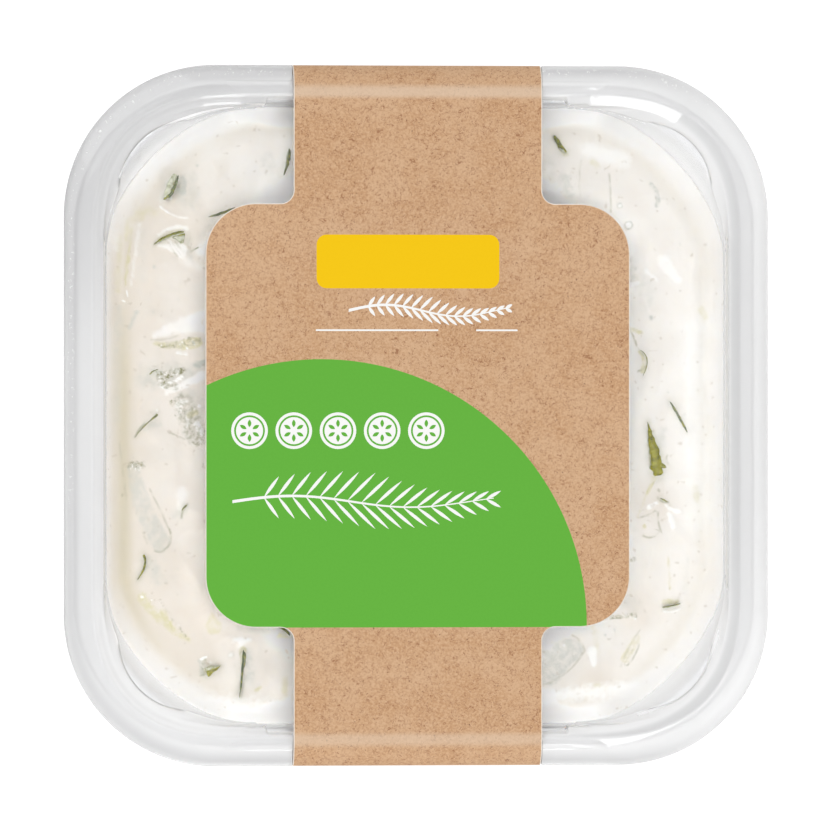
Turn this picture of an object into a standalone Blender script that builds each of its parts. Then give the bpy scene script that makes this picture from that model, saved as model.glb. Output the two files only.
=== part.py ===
"""A shut retail tub of tzatziki: clear tub, clear snap-on lid, card sleeve, and the dip inside.

Metres, +Z up. The origin is the centre of the underside, +Y is the side that the photo
shows at the top, and the pack stands on the sleeve's underside.
"""

import math

import bmesh
import bpy
import numpy as np

MM = 0.001

# Driving dimensions: the pack's plan, read at 112 mm across
HALF_X = 56.0 * MM
HALF_Y = 55.5 * MM

# Clearance between touching pieces, and the thickness of each material
GAP = 0.3 * MM
CARD = 0.45 * MM
TUB_WALL = 0.8 * MM
LID_WALL = 0.6 * MM

# Heights, from the surface that the pack stands on
TUB_FOOT = CARD + GAP
TUB_FLOOR = TUB_FOOT + TUB_WALL
FLANGE_TOP = 29.2 * MM
LID_FLOOR = FLANGE_TOP + GAP + LID_WALL
RIM_HEIGHT = 3.3 * MM
LID_TOP = LID_FLOOR + RIM_HEIGHT
SLEEVE_INSIDE = LID_TOP + GAP
DIP_LEVEL = 27.3 * MM

# The card band and its wide label panel
BAND_HALF = 19.7 * MM
PANEL_HALF_X = 33.65 * MM
PANEL_HALF_Y = 33.5 * MM
PANEL_CORNER = 8.0 * MM
NECK_FILLET = 2.1 * MM
NECK_STEPS = 4
PANEL_STEPS = 8

# The shallow seat in the lid's skirt that the tight band lies in: its depth and half width
SEAT_DEPTH = 0.85 * MM
SEAT_FULL = 20.0 * MM
SEAT_NONE = 20.7 * MM

# The bay in the recess behind the seat, where the recess wall steps outwards
BAY_DEPTH = 1.6 * MM
BAY_FULL = 23.6 * MM
BAY_NONE = 24.2 * MM

# Corner lobes of the lid's recess: a larger arc set on each corner of its foot
LOBE_RADIUS = 9.1 * MM
LOBE_CENTRE = 37.6 * MM
LOBE_BLEND = 0.5 * MM
LOBE_TRIM = 0.05 * MM

# Steps round each corner arc and along each straight side. The lid's sides have points at
# the ends of the bay and the seat instead.
ARC_STEPS = 12
LID_ARC_STEPS = 14
SIDE_STEPS = 6
DIP_SIDE_STEPS = 10
LID_MARKS = (-BAY_NONE, -BAY_FULL, -SEAT_NONE, -SEAT_FULL, SEAT_FULL, SEAT_NONE, BAY_FULL, BAY_NONE)

SEED = 7


def smoothstep(low, high, value):
    """0 below low, 1 above high, and a smooth ramp between."""
    t = np.clip((value - low) / (high - low), 0.0, 1.0)
    return t * t * (3.0 - 2.0 * t)


def outline(half_x, half_y, radius, lobes=0.0, steps=ARC_STEPS, marks=None, side_steps=SIDE_STEPS):
    """Points of a rounded rectangle, counter-clockwise from +X, as an array of x and y.

    Each corner is an arc round (half_x - radius, half_y - radius). With lobes, the arc's
    radius grows to reach a second circle that sits on the corner's diagonal. Each straight
    side has even steps, or points at the marks, which are distances from its middle.
    """
    points = []
    for quarter in range(4):
        turn = quarter * math.pi / 2
        for step in range(steps + 1):
            angle = math.pi / 2 * step / steps
            reach = radius
            if lobes:
                reach = lobed_reach(angle, half_x - radius, radius, lobes)
            points.append(corner_point(quarter, turn + angle, half_x, half_y, radius, reach))
        flat = (half_y if quarter % 2 else half_x) - radius
        along = marks or [flat * (2 * step / side_steps - 1) for step in range(1, side_steps)]
        points += side_points(quarter, half_x, half_y, along)
    return np.array(points)


def side_points(quarter, half_x, half_y, marks):
    """The points of the straight side that follows a corner."""
    if quarter == 0:
        return [(-mark, half_y) for mark in marks]
    if quarter == 1:
        return [(-half_x, -mark) for mark in marks]
    if quarter == 2:
        return [(mark, -half_y) for mark in marks]
    return [(half_x, mark) for mark in marks]


def shift_y_sides(points, depth, full, none):
    """Moves the middle of both Y sides of an outline inwards by depth, out to full from X = 0."""
    on_y_side = np.isclose(np.abs(points[:, 1]), np.abs(points[:, 1]).max())
    share = np.clip((none - np.abs(points[:, 0])) / (none - full), 0.0, 1.0)
    points[:, 1] -= np.sign(points[:, 1]) * depth * share * on_y_side
    return points


def corner_point(quarter, angle, half_x, half_y, radius, reach):
    """The point at an angle, reach away from the centre of one corner's arc."""
    sign_x = 1 if quarter in (0, 3) else -1
    sign_y = 1 if quarter in (0, 1) else -1
    centre_x = sign_x * (half_x - radius)
    centre_y = sign_y * (half_y - radius)
    return centre_x + reach * math.cos(angle), centre_y + reach * math.sin(angle)


def lobed_reach(angle, arc_centre, radius, share):
    """How far a lobed corner lies from its arc's centre: the larger of two circles, blended."""
    away = math.sqrt(2.0) * (LOBE_CENTRE - arc_centre)
    swing = angle - math.pi / 4
    under_root = LOBE_RADIUS**2 - (away * math.sin(swing)) ** 2
    if under_root <= 0:
        return radius
    lobe = away * math.cos(swing) + math.sqrt(under_root)
    over = lobe - radius
    blended = 0.5 * (over + math.sqrt(over * over + LOBE_BLEND**2))
    return radius + share * max(blended - LOBE_TRIM, 0.0)


def ring(points, height):
    """An outline set at one height, as rows of x, y and z."""
    return np.column_stack([points, np.full(len(points), height)])


def loft(name, rings, cap_first=False, cap_last=False):
    """A mesh of quads between rings that run from the bottom or outside to the top or inside."""
    work = bmesh.new()
    rows = [[work.verts.new(point) for point in points] for points in rings]
    count = len(rows[0])
    for low, high in zip(rows, rows[1:]):
        for i in range(count):
            j = (i + 1) % count
            work.faces.new((low[i], low[j], high[j], high[i]))
    if cap_first:
        work.faces.new(rows[0][::-1])
    if cap_last:
        work.faces.new(rows[-1])
    mesh = bpy.data.meshes.new(name)
    work.to_mesh(mesh)
    work.free()
    return mesh


def material(name, colour, roughness, transmission=0.0):
    """A Principled material with one plain finish."""
    made = bpy.data.materials.new(name)
    made.use_nodes = True
    shader = made.node_tree.nodes["Principled BSDF"]
    shader.inputs["Base Color"].default_value = (*colour, 1.0)
    shader.inputs["Roughness"].default_value = roughness
    shader.inputs["Transmission Weight"].default_value = transmission
    shader.inputs["Metallic"].default_value = 0.0
    return made


def add_piece(name, mesh, collection, finish):
    """An object for a mesh, in a collection, with its own material."""
    piece = bpy.data.objects.new(name, mesh)
    collection.objects.link(piece)
    mesh.materials.append(finish)
    return piece


def thicken(piece, thickness, outwards):
    """A Solidify modifier that adds a wall on one side of an open surface."""
    wall = piece.modifiers.new("wall", "SOLIDIFY")
    wall.thickness = thickness
    wall.offset = 1.0 if outwards else -1.0
    wall.use_even_offset = True
    wall.use_quality_normals = True


def smooth(piece, degrees=40.0):
    """Smooth shading with the creases over an angle left sharp."""
    piece.data.shade_smooth()
    piece.data.set_sharp_from_angle(angle=math.radians(degrees))


# The tub's inside, from the flange's lip down to the floor: half widths, corner radius, height
LIP_DROP = 2.4 * MM
TUB_SECTION = (
    (54.3 * MM, 52.6 * MM, 23.0 * MM, FLANGE_TOP - LIP_DROP),
    (54.1 * MM, 52.4 * MM, 22.8 * MM, FLANGE_TOP),
    (50.4 * MM, 49.9 * MM, 23.0 * MM, FLANGE_TOP),
    (49.7 * MM, 49.2 * MM, 23.2 * MM, FLANGE_TOP - 0.7 * MM),
    (47.6 * MM, 47.1 * MM, 24.2 * MM, 20.0 * MM),
    (44.2 * MM, 43.7 * MM, 23.4 * MM, 7.5 * MM),
    (42.9 * MM, 42.4 * MM, 22.6 * MM, TUB_FLOOR + 2.2 * MM),
    (41.0 * MM, 40.5 * MM, 21.0 * MM, TUB_FLOOR + 0.5 * MM),
    (38.8 * MM, 38.3 * MM, 19.2 * MM, TUB_FLOOR),
)
MOUTH_STATION = 3

# The lid's outside, from the skirt's edge over the rim and down to the recess floor: half
# width in X, corner radius, height, and the shares of the lobes, the seat and the bay
LID_SECTION = (
    (55.4 * MM, 23.7 * MM, LID_TOP - 5.8 * MM, 0.0, 1.0, 0.0),
    (56.0 * MM, 24.0 * MM, LID_TOP - 1.5 * MM, 0.0, 1.8, 0.0),
    (55.8 * MM, 23.9 * MM, LID_TOP - 1.15 * MM, 0.0, 2.1, 0.0),
    (53.8 * MM, 23.2 * MM, LID_TOP - 0.35 * MM, 0.0, 1.4, 0.0),
    (53.0 * MM, 22.8 * MM, LID_TOP - 0.1 * MM, 0.0, 1.2, 0.0),
    (51.5 * MM, 22.3 * MM, LID_TOP, 0.0, 0.6, 0.0),
    (51.1 * MM, 22.4 * MM, LID_TOP - 0.25 * MM, 0.1, 0.3, 0.1),
    (49.7 * MM, 23.4 * MM, LID_TOP - 1.35 * MM, 0.7, 0.0, -0.7),
    (49.4 * MM, 23.6 * MM, LID_FLOOR + 0.3 * MM, 0.95, 0.0, -0.95),
    (49.1 * MM, 23.6 * MM, LID_FLOOR, 1.0, 0.0, -1.0),
)


def make_tub(collection):
    """The clear tub: a flange with a turned-down lip, a tapering wall and a flat floor."""
    rings = [ring(outline(a, b, r), z) for a, b, r, z in TUB_SECTION]
    mesh = loft("tub", rings, cap_last=True)
    tub = add_piece("tub", mesh, collection, material("tub_clear", (0.9, 0.91, 0.92), 0.05, 1.0))
    thicken(tub, TUB_WALL, outwards=False)
    smooth(tub)
    return tub


def make_lid(collection):
    """The clear lid: a skirt, a raised rim and a recess with a lobe in each corner."""
    rings = []
    for half, radius, height, lobes, seat, bay in LID_SECTION:
        half_y = half - (HALF_X - HALF_Y)
        flat = outline(half, half_y, radius, lobes, LID_ARC_STEPS, LID_MARKS)
        shift_y_sides(flat, seat * SEAT_DEPTH, SEAT_FULL, SEAT_NONE)
        shift_y_sides(flat, bay * BAY_DEPTH, BAY_FULL, BAY_NONE)
        rings.append(ring(flat, height))
    mesh = loft("lid", rings, cap_last=True)
    lid = add_piece("lid", mesh, collection, material("lid_clear", (0.92, 0.93, 0.94), 0.05, 1.0))
    thicken(lid, LID_WALL, outwards=False)
    smooth(lid)
    return lid


def arc_path(centre_y, centre_z, radius, start, end, steps):
    """Points of an arc in the YZ plane. Angles are degrees from straight up, towards +Y."""
    angles = np.radians(np.linspace(start, end, steps + 1))
    return [(centre_y + radius * math.sin(a), centre_z + radius * math.cos(a)) for a in angles]


# The band's path over one edge: a slow bend over the rim, a tight bend down its side, and
# a straight run that leans in to the foot
SLOW_BEND_START = 50.2 * MM
SLOW_BEND_RADIUS = 9.0 * MM
SLOW_BEND_TURN = 17.0
BAND_WIDEST = HALF_Y - CARD
FOOT_BEND_RADIUS = 1.5 * MM
FOOT_BEND_Y = 42.6 * MM
SLOW_BEND_STEPS = 3
TIGHT_BEND_STEPS = 8
FOOT_BEND_STEPS = 5


def band_path():
    """The band's inner face on the +Y side, from the flat top to the flat underside."""
    turn = math.radians(SLOW_BEND_TURN)
    centre_z = SLEEVE_INSIDE - SLOW_BEND_RADIUS
    path = arc_path(SLOW_BEND_START, centre_z, SLOW_BEND_RADIUS, 0, SLOW_BEND_TURN, SLOW_BEND_STEPS)
    end_y, end_z = path.pop()
    radius = (BAND_WIDEST - end_y) / (1 - math.sin(turn))
    centre_y = BAND_WIDEST - radius
    centre_z = end_z - radius * math.cos(turn)
    lean = math.degrees(math.atan2(BAND_WIDEST - FOOT_BEND_Y - FOOT_BEND_RADIUS, centre_z - CARD))
    path += arc_path(centre_y, centre_z, radius, SLOW_BEND_TURN, 90 + lean, TIGHT_BEND_STEPS)
    foot_z = CARD + FOOT_BEND_RADIUS
    path += arc_path(FOOT_BEND_Y, foot_z, FOOT_BEND_RADIUS, 90 + lean, 180, FOOT_BEND_STEPS)
    return path


def panel_quarter():
    """The label's outline in the quarter with +X and +Y, from the bend to the X axis."""
    points = [(BAND_HALF, SLOW_BEND_START)]
    neck_x = BAND_HALF + NECK_FILLET
    neck_y = PANEL_HALF_Y + NECK_FILLET
    for step in range(NECK_STEPS + 1):
        angle = math.pi + math.pi / 2 * step / NECK_STEPS
        points.append((neck_x + NECK_FILLET * math.cos(angle), neck_y + NECK_FILLET * math.sin(angle)))
    centre_x = PANEL_HALF_X - PANEL_CORNER
    centre_y = PANEL_HALF_Y - PANEL_CORNER
    for step in range(PANEL_STEPS + 1):
        angle = math.pi / 2 * (1 - step / PANEL_STEPS)
        points.append((centre_x + PANEL_CORNER * math.cos(angle), centre_y + PANEL_CORNER * math.sin(angle)))
    return points


def make_sleeve(collection):
    """The card sleeve: one closed band round the pack with a wide label panel on top."""
    work = bmesh.new()
    quarter = panel_quarter()
    right = quarter + [(x, -y) for x, y in quarter[::-1]]
    flat = right + [(-x, -y) for x, y in right]
    top = [work.verts.new((x, y, SLEEVE_INSIDE)) for x, y in flat]
    work.faces.new(top[::-1])
    half = len(right)
    front = (top[0], top[-1])
    back = (top[half - 1], top[half])
    path = band_path()[1:]
    ends = []
    for side, (right_vert, left_vert) in ((1, front), (-1, back)):
        before = (right_vert, left_vert)
        for y, z in path:
            row = (
                work.verts.new((BAND_HALF, side * y, z)),
                work.verts.new((-BAND_HALF, side * y, z)),
            )
            work.faces.new((before[0], row[0], row[1], before[1]))
            before = row
        ends.append(before)
    work.faces.new((ends[0][0], ends[1][0], ends[1][1], ends[0][1]))
    bmesh.ops.recalc_face_normals(work, faces=work.faces)
    mesh = bpy.data.meshes.new("sleeve")
    work.to_mesh(mesh)
    work.free()
    sleeve = add_piece("sleeve", mesh, collection, material("sleeve_card", (0.62, 0.38, 0.21), 0.8))
    thicken(sleeve, CARD, outwards=True)
    smooth(sleeve)
    return sleeve


# The dip's surface, in millimetres: soft lumps and stroked ridges, within reach of the middle
LUMP_COUNT = 90
LUMP_REACH = 44.0
LUMP_WIDTH = (2.4, 5.2)
LUMP_RISE = (-0.6, 0.9)
RIDGE_COUNT = 34
RIDGE_REACH = 42.0
RIDGE_LENGTH = (6.0, 11.0)
RIDGE_WIDTH = (1.3, 2.2)
RIDGE_RISE = (0.3, 0.85)

# They fade out towards the wall, where a shallow trough runs and a smear climbs, in millimetres
FADE_INSET = 4.0
TROUGH_DEPTH = 0.9
TROUGH_INSET = 3.0
TROUGH_WIDTH = 1.8
SMEAR_RISE = 0.35
SMEAR_WIDTH = 1.2
RELIEF_LIMIT = 1.5


def relief_terms():
    """Seeded places, sizes and directions for the lumps and ridges of the dip's surface."""
    draw = np.random.default_rng(SEED)
    lumps = np.column_stack(
        [
            draw.uniform(-LUMP_REACH, LUMP_REACH, LUMP_COUNT),
            draw.uniform(-LUMP_REACH, LUMP_REACH, LUMP_COUNT),
            draw.uniform(*LUMP_WIDTH, LUMP_COUNT),
            draw.uniform(*LUMP_RISE, LUMP_COUNT),
        ]
    )
    ridges = np.column_stack(
        [
            draw.uniform(-RIDGE_REACH, RIDGE_REACH, RIDGE_COUNT),
            draw.uniform(-RIDGE_REACH, RIDGE_REACH, RIDGE_COUNT),
            draw.uniform(*RIDGE_LENGTH, RIDGE_COUNT),
            draw.uniform(*RIDGE_WIDTH, RIDGE_COUNT),
            draw.uniform(0.0, math.pi, RIDGE_COUNT),
            draw.uniform(*RIDGE_RISE, RIDGE_COUNT),
        ]
    )
    return lumps, ridges


def dip_height(x, y, inset):
    """Height of the dip's surface at x and y, inset metres in from its wall.

    The level, plus a rounded bump for each lump, plus a long narrow bump for each ridge, less
    a trough just inside the wall, plus a smear that climbs the wall.
    """
    lumps, ridges = relief_terms()
    x_mm, y_mm, inset_mm = x / MM, y / MM, inset / MM
    height = np.zeros_like(x_mm)
    for centre_x, centre_y, width, rise in lumps:
        height += rise * np.exp(-((x_mm - centre_x) ** 2 + (y_mm - centre_y) ** 2) / width**2)
    for centre_x, centre_y, length, width, angle, rise in ridges:
        along = (x_mm - centre_x) * math.cos(angle) + (y_mm - centre_y) * math.sin(angle)
        across = (y_mm - centre_y) * math.cos(angle) - (x_mm - centre_x) * math.sin(angle)
        height += rise * np.exp(-((along / length) ** 2) - (across / width) ** 2)
    height *= smoothstep(0.0, FADE_INSET, inset_mm)
    height -= TROUGH_DEPTH * np.exp(-(((inset_mm - TROUGH_INSET) / TROUGH_WIDTH) ** 2))
    height += SMEAR_RISE * np.exp(-((inset_mm / SMEAR_WIDTH) ** 2))
    return DIP_LEVEL + np.clip(height, -RELIEF_LIMIT, RELIEF_LIMIT) * MM


def dip_outline(half_x, half_y, radius):
    """An outline of the dip, with closer points along its sides than the tub has."""
    return outline(half_x, half_y, radius, side_steps=DIP_SIDE_STEPS)


def dip_wall_rings():
    """Rings down the dip's side, a gap inside the tub, from the floor up to the dip's edge."""
    below = [row for row in TUB_SECTION[MOUTH_STATION:] if row[3] < DIP_LEVEL]
    rings = [ring(dip_outline(a - GAP, b - GAP, r - GAP), z + GAP) for a, b, r, z in below[::-1]]
    upper, lower = TUB_SECTION[MOUTH_STATION], TUB_SECTION[MOUTH_STATION + 1]
    share = (DIP_LEVEL - lower[3]) / (upper[3] - lower[3])
    edge = [low + (high - low) * share - GAP for low, high in zip(lower[:3], upper[:3])]
    return rings, edge


# The surface's rings: how far in from the wall, in millimetres, and how fast their corners
# tighten on the way
SURFACE_STEPS = (0.0, 1.2, 2.4, 3.6, 5.2, 7.0, 9.0, 11.2, 13.6, 17.5, 25.0, 36.0)
CORNER_TIGHTENING = 0.62
LEAST_CORNER = 2.0 * MM


def dip_core():
    """The dip without its cucumber: walls a gap inside the tub, and the uneven surface."""
    rings, (edge_x, edge_y, edge_r) = dip_wall_rings()
    for inset in SURFACE_STEPS:
        step = inset * MM
        corner = max(edge_r - CORNER_TIGHTENING * step, LEAST_CORNER)
        flat = dip_outline(edge_x - step, edge_y - step, corner)
        heights = dip_height(flat[:, 0], flat[:, 1], np.full(len(flat), step))
        rings.append(np.column_stack([flat, heights]))
    return loft("dip", rings, cap_first=True, cap_last=True)


# Cucumber that shows on the left and right of the label. Each row: the piece's middle in
# millimetres, its length and width, its turn from +X in degrees, and its kind.
SHOWN_CUCUMBER = (
    (-38.5, 36.0, 5.2, 1.5, 68, "skin"),
    (-36.6, 34.6, 6.2, 3.6, 65, "slice"),
    (-39.3, 28.6, 5.8, 1.3, 23, "skin"),
    (-38.4, 26.0, 4.4, 3.2, 20, "slice"),
    (-31.0, 32.6, 4.2, 1.0, 16, "skin"),
    (-20.9, 40.4, 4.2, 1.1, 78, "skin"),
    (-45.4, 25.6, 10.0, 1.5, 82, "slice"),
    (-38.0, 13.0, 8.2, 4.6, 35, "slice"),
    (-38.8, 6.8, 3.8, 1.9, 8, "skin"),
    (-36.4, -1.4, 6.4, 3.8, 38, "slice"),
    (-42.2, -14.8, 13.0, 3.0, -62, "slice"),
    (-43.5, -24.3, 4.2, 1.0, 74, "skin"),
    (-37.0, -13.0, 2.6, 1.6, 48, "slice"),
    (-39.0, -32.8, 14.0, 1.8, -48, "slice"),
    (-33.0, -39.9, 3.0, 2.0, 40, "skin"),
    (-31.8, -32.6, 3.2, 2.2, 50, "slice"),
    (-27.6, -41.2, 7.6, 1.0, 86, "skin"),
    (-21.4, -39.2, 11.0, 3.2, 78, "slice"),
    (22.9, 43.1, 2.8, 1.1, -62, "skin"),
    (28.9, 36.9, 8.6, 4.2, -82, "slice"),
    (39.0, 34.6, 4.4, 1.2, -84, "skin"),
    (40.0, 23.2, 5.4, 3.4, 40, "slice"),
    (36.8, 8.6, 3.6, 1.0, 70, "skin"),
    (41.9, 0.4, 6.6, 1.2, -60, "skin"),
    (38.2, -5.2, 8.0, 2.4, -72, "skin"),
    (37.2, -17.0, 4.6, 3.6, -30, "slice"),
    (34.6, -21.6, 4.0, 1.3, 74, "skin"),
    (40.9, -30.4, 3.2, 1.0, 14, "skin"),
    (32.4, -31.4, 5.8, 2.2, -12, "skin"),
    (23.4, -38.8, 9.0, 6.2, 58, "slice"),
    (34.6, -36.6, 6.0, 2.0, 55, "slice"),
)

# Cucumber under the label: how many, on how many columns, within reach of the middle, in
# millimetres
HIDDEN_COUNT = 14
HIDDEN_COLUMNS = 4
HIDDEN_REACH = 28.0
HIDDEN_SWAY = 0.25
HIDDEN_LENGTH = (5.0, 9.0)
SLICE_WIDTH = (2.4, 4.4)
SKIN_WIDTH = 1.4

# How far a slice stands out of the dip and reaches into it, how much more a piece of skin
# stands out, and how a piece bows along its length and narrows to its top
PIECE_RISE = 0.55 * MM
PIECE_DEPTH = 2.2 * MM
SKIN_LIFT = 1.25
PIECE_STATIONS = 5
PIECE_BOW = 0.12
PIECE_TAPER = 0.72
PIECE_SHOULDER = 0.45


def hidden_cucumber():
    """Seeded pieces under the label, one near the middle of each cell of a loose grid."""
    draw = np.random.default_rng(SEED + 1)
    rows = []
    for index in range(HIDDEN_COUNT):
        column = index % HIDDEN_COLUMNS + 0.5 + draw.uniform(-HIDDEN_SWAY, HIDDEN_SWAY)
        line = index // HIDDEN_COLUMNS + 0.5 + draw.uniform(-HIDDEN_SWAY, HIDDEN_SWAY)
        x = HIDDEN_REACH * (2 * column / HIDDEN_COLUMNS - 1)
        y = HIDDEN_REACH * (2 * line / HIDDEN_COLUMNS - 1)
        kind = "skin" if index % 3 == 0 else "slice"
        width = SKIN_WIDTH if kind == "skin" else draw.uniform(*SLICE_WIDTH)
        length = draw.uniform(*HIDDEN_LENGTH)
        rows.append((x, y, length, width, draw.uniform(0, 180), kind))
    return rows


def cucumber_piece(collection, number, row):
    """One cucumber piece: a bowed, lens-shaped slab with a chamfered top.

    Its middle line is a parabola, and its half width is that of an ellipse with blunt ends.
    """
    x, y, length, width, turn, kind = row
    rise = PIECE_RISE if kind == "slice" else SKIN_LIFT * PIECE_RISE
    shares = np.linspace(-1.0, 1.0, PIECE_STATIONS)
    middle = np.column_stack([shares * length / 2, PIECE_BOW * length * (1 - shares**2)])
    spread = np.outer(0.5 * width * np.sqrt(1.04 - shares**2), (0, 1))
    flat = np.vstack([middle - spread, (middle + spread)[::-1]]) * MM
    angle = math.radians(turn)
    around = np.array([[math.cos(angle), math.sin(angle)], [-math.sin(angle), math.cos(angle)]])
    flat = flat @ around + np.array([x, y]) * MM
    far_inside = np.full(len(flat), 2 * FADE_INSET * MM)
    level = dip_height(flat[:, 0], flat[:, 1], far_inside).mean()
    centre = flat.mean(axis=0)
    top = centre + (flat - centre) * PIECE_TAPER
    rings = [
        ring(flat, level - PIECE_DEPTH),
        ring(flat, level + PIECE_SHOULDER * rise),
        ring(top, level + rise),
    ]
    mesh = loft(f"cucumber_{number}", rings, cap_first=True, cap_last=True)
    piece = bpy.data.objects.new(f"cucumber_{number}", mesh)
    collection.objects.link(piece)
    return piece


def make_dip(collection, guides):
    """The dip's core with the cucumber joined to it, as one solid."""
    dip = add_piece("dip", dip_core(), collection, material("dip_yoghurt", (0.9, 0.88, 0.83), 0.35))
    pieces = [
        cucumber_piece(guides, number, row)
        for number, row in enumerate(list(SHOWN_CUCUMBER) + hidden_cucumber())
    ]
    join = dip.modifiers.new("join", "BOOLEAN")
    join.operation = "UNION"
    join.operand_type = "COLLECTION"
    join.collection = guides
    join.solver = "MANIFOLD"
    bpy.context.view_layer.update()
    joined = dip.evaluated_get(bpy.context.evaluated_depsgraph_get())
    mesh = bpy.data.meshes.new_from_object(joined)
    dip.modifiers.clear()
    dip.data = mesh
    for piece in pieces:
        bpy.data.objects.remove(piece)
    smooth(dip, 35.0)
    return dip


def main():
    """Clears the scene and makes the four pieces."""
    for thing in list(bpy.data.objects):
        bpy.data.objects.remove(thing)
    parts = bpy.data.collections.new("tzatziki_tub")
    guides = bpy.data.collections.new("guides")
    bpy.context.scene.collection.children.link(parts)
    bpy.context.scene.collection.children.link(guides)
    make_tub(parts)
    make_lid(parts)
    make_sleeve(parts)
    make_dip(parts, guides)


main()
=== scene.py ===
# %% [markdown]
# # A shut tub of tzatziki dip
#
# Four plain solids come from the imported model: a clear tub, a clear lid, a card sleeve and the
# dip. This lesson gives each one the finish of the real pack: thin formed plastic with crisp
# edges, uncoated brown card with a flat print, and moist yoghurt with cucumber in it. Each new
# piece is a surface worked out with numpy and laid where its solid is.

# %% Load the solids
import math

import bmesh
import bpy
import numpy as np
from mathutils import Matrix, Vector
from mathutils.geometry import delaunay_2d_cdt


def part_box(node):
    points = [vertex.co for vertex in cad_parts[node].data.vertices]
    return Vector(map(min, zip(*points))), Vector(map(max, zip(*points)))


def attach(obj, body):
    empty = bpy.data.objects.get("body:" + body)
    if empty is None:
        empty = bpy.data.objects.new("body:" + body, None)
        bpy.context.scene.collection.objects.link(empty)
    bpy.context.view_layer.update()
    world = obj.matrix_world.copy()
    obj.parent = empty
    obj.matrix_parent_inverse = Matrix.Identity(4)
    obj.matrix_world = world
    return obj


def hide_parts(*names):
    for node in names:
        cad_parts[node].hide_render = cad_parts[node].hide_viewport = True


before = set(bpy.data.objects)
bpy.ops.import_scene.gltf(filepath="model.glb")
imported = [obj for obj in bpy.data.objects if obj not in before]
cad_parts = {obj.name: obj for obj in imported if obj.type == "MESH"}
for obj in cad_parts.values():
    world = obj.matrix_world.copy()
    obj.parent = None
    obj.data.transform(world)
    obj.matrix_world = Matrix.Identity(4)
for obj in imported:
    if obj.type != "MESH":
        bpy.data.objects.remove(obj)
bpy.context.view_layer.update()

# %% [markdown]
# ## Measures
#
# Everything is placed from the solids' own boxes, so the looks can't drift away from them. Only
# what a box can't tell is written here again: the thickness of a wall, or the radius of a bend.

# %% Measures
MM = 0.001

tub_low, tub_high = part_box("tub")
lid_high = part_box("lid")[1]
sleeve_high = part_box("sleeve")[1]

HALF_X = lid_high.x
HALF_Y = sleeve_high.y
FLANGE_TOP = tub_high.z
LID_TOP = lid_high.z
CARD_TOP = sleeve_high.z
CARD = 0.45 * MM
TUB_WALL = 0.8 * MM
TUB_FLOOR = tub_low.z + TUB_WALL
DIP_LEVEL = 27.3 * MM
SEED = 7
print("pack", round(2 * HALF_X / MM, 1), "x", round(2 * HALF_Y / MM, 1), "x", round(CARD_TOP / MM, 2), "mm")

# %% [markdown]
# ## Camera
#
# The pack was photographed from almost straight above, with a long lens: the rim shows no
# perspective. It leans a few degrees to one side, because the dip, which lies deeper than the
# rim, sits a little to the left inside it.

# %% Camera
CAMERA_DISTANCE = 1.25
LEAN_LEFT = math.radians(4.5)
FRAME_WIDTH = 131.7 * MM
SENSOR = 36.0
NEAREST_SEEN = 0.01
SIGHT_POINT = Vector((-0.2 * MM, 0.0, LID_TOP - 2 * MM))


def make_camera():
    """A long lens above the pack: leant towards -X, with the pack's +Y upwards in the picture."""
    toward = Vector((-math.sin(LEAN_LEFT), 0.0, math.cos(LEAN_LEFT)))
    up = Vector((0, 1, 0))
    turn = Matrix((up.cross(toward), up, toward)).transposed()
    data = bpy.data.cameras.new("camera")
    data.sensor_width = SENSOR
    data.lens = SENSOR * CAMERA_DISTANCE / FRAME_WIDTH
    data.clip_start = NEAREST_SEEN
    camera = bpy.data.objects.new("camera", data)
    camera.matrix_world = Matrix.Translation(SIGHT_POINT + CAMERA_DISTANCE * toward) @ turn.to_4x4()
    bpy.context.scene.collection.objects.link(camera)
    bpy.context.scene.camera = camera
    print("lens", round(data.lens), "mm")


make_camera()

# %% [markdown]
# ## Soft steps and profiles
#
# Tub, lid and dip are all rings stacked on each other: rounded squares whose size, corner and
# height change from ring to ring. Each has a short table of stations for its profile, which is
# then rounded off. The soft step is what nearly every form and shade below is blended with.

# %% Soft steps and profiles


def smoothstep(low, high, value):
    """0 below low, 1 above high and t * t * (3 - 2 t) between, or falling where low is the larger."""
    t = np.clip((value - low) / (high - low), 0.0, 1.0)
    return t * t * (3.0 - 2.0 * t)


def cut_corners(stations, rounds):
    """Rounds off a table of stations: each step between two rows becomes two new rows.

    The new rows lie at a share of the step from both of its ends: a fifth in the first round,
    and a quarter in later ones.
    """
    share = 0.2
    for _ in range(rounds):
        first, last = stations[:1], stations[-1:]
        early = (1 - share) * stations[:-1] + share * stations[1:]
        late = share * stations[:-1] + (1 - share) * stations[1:]
        between = np.stack([early, late], axis=1).reshape(-1, stations.shape[1])
        stations = np.vstack([first, between, last])
        share = 0.25
    return stations


print("a soft step at 1/4, 1/2 and 3/4 of its way:", *smoothstep(0.0, 1.0, np.array([0.25, 0.5, 0.75])))

# %% [markdown]
# ## Rings
#
# One function gives the points of all rings at once, as arrays of rings by points, so no loop
# runs over single points. A second one finds the other side of a thin sheet, and the rest turn
# rings into a closed mesh.

# %% Rings
BEFORE_ARC = 0.3 * MM


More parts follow.
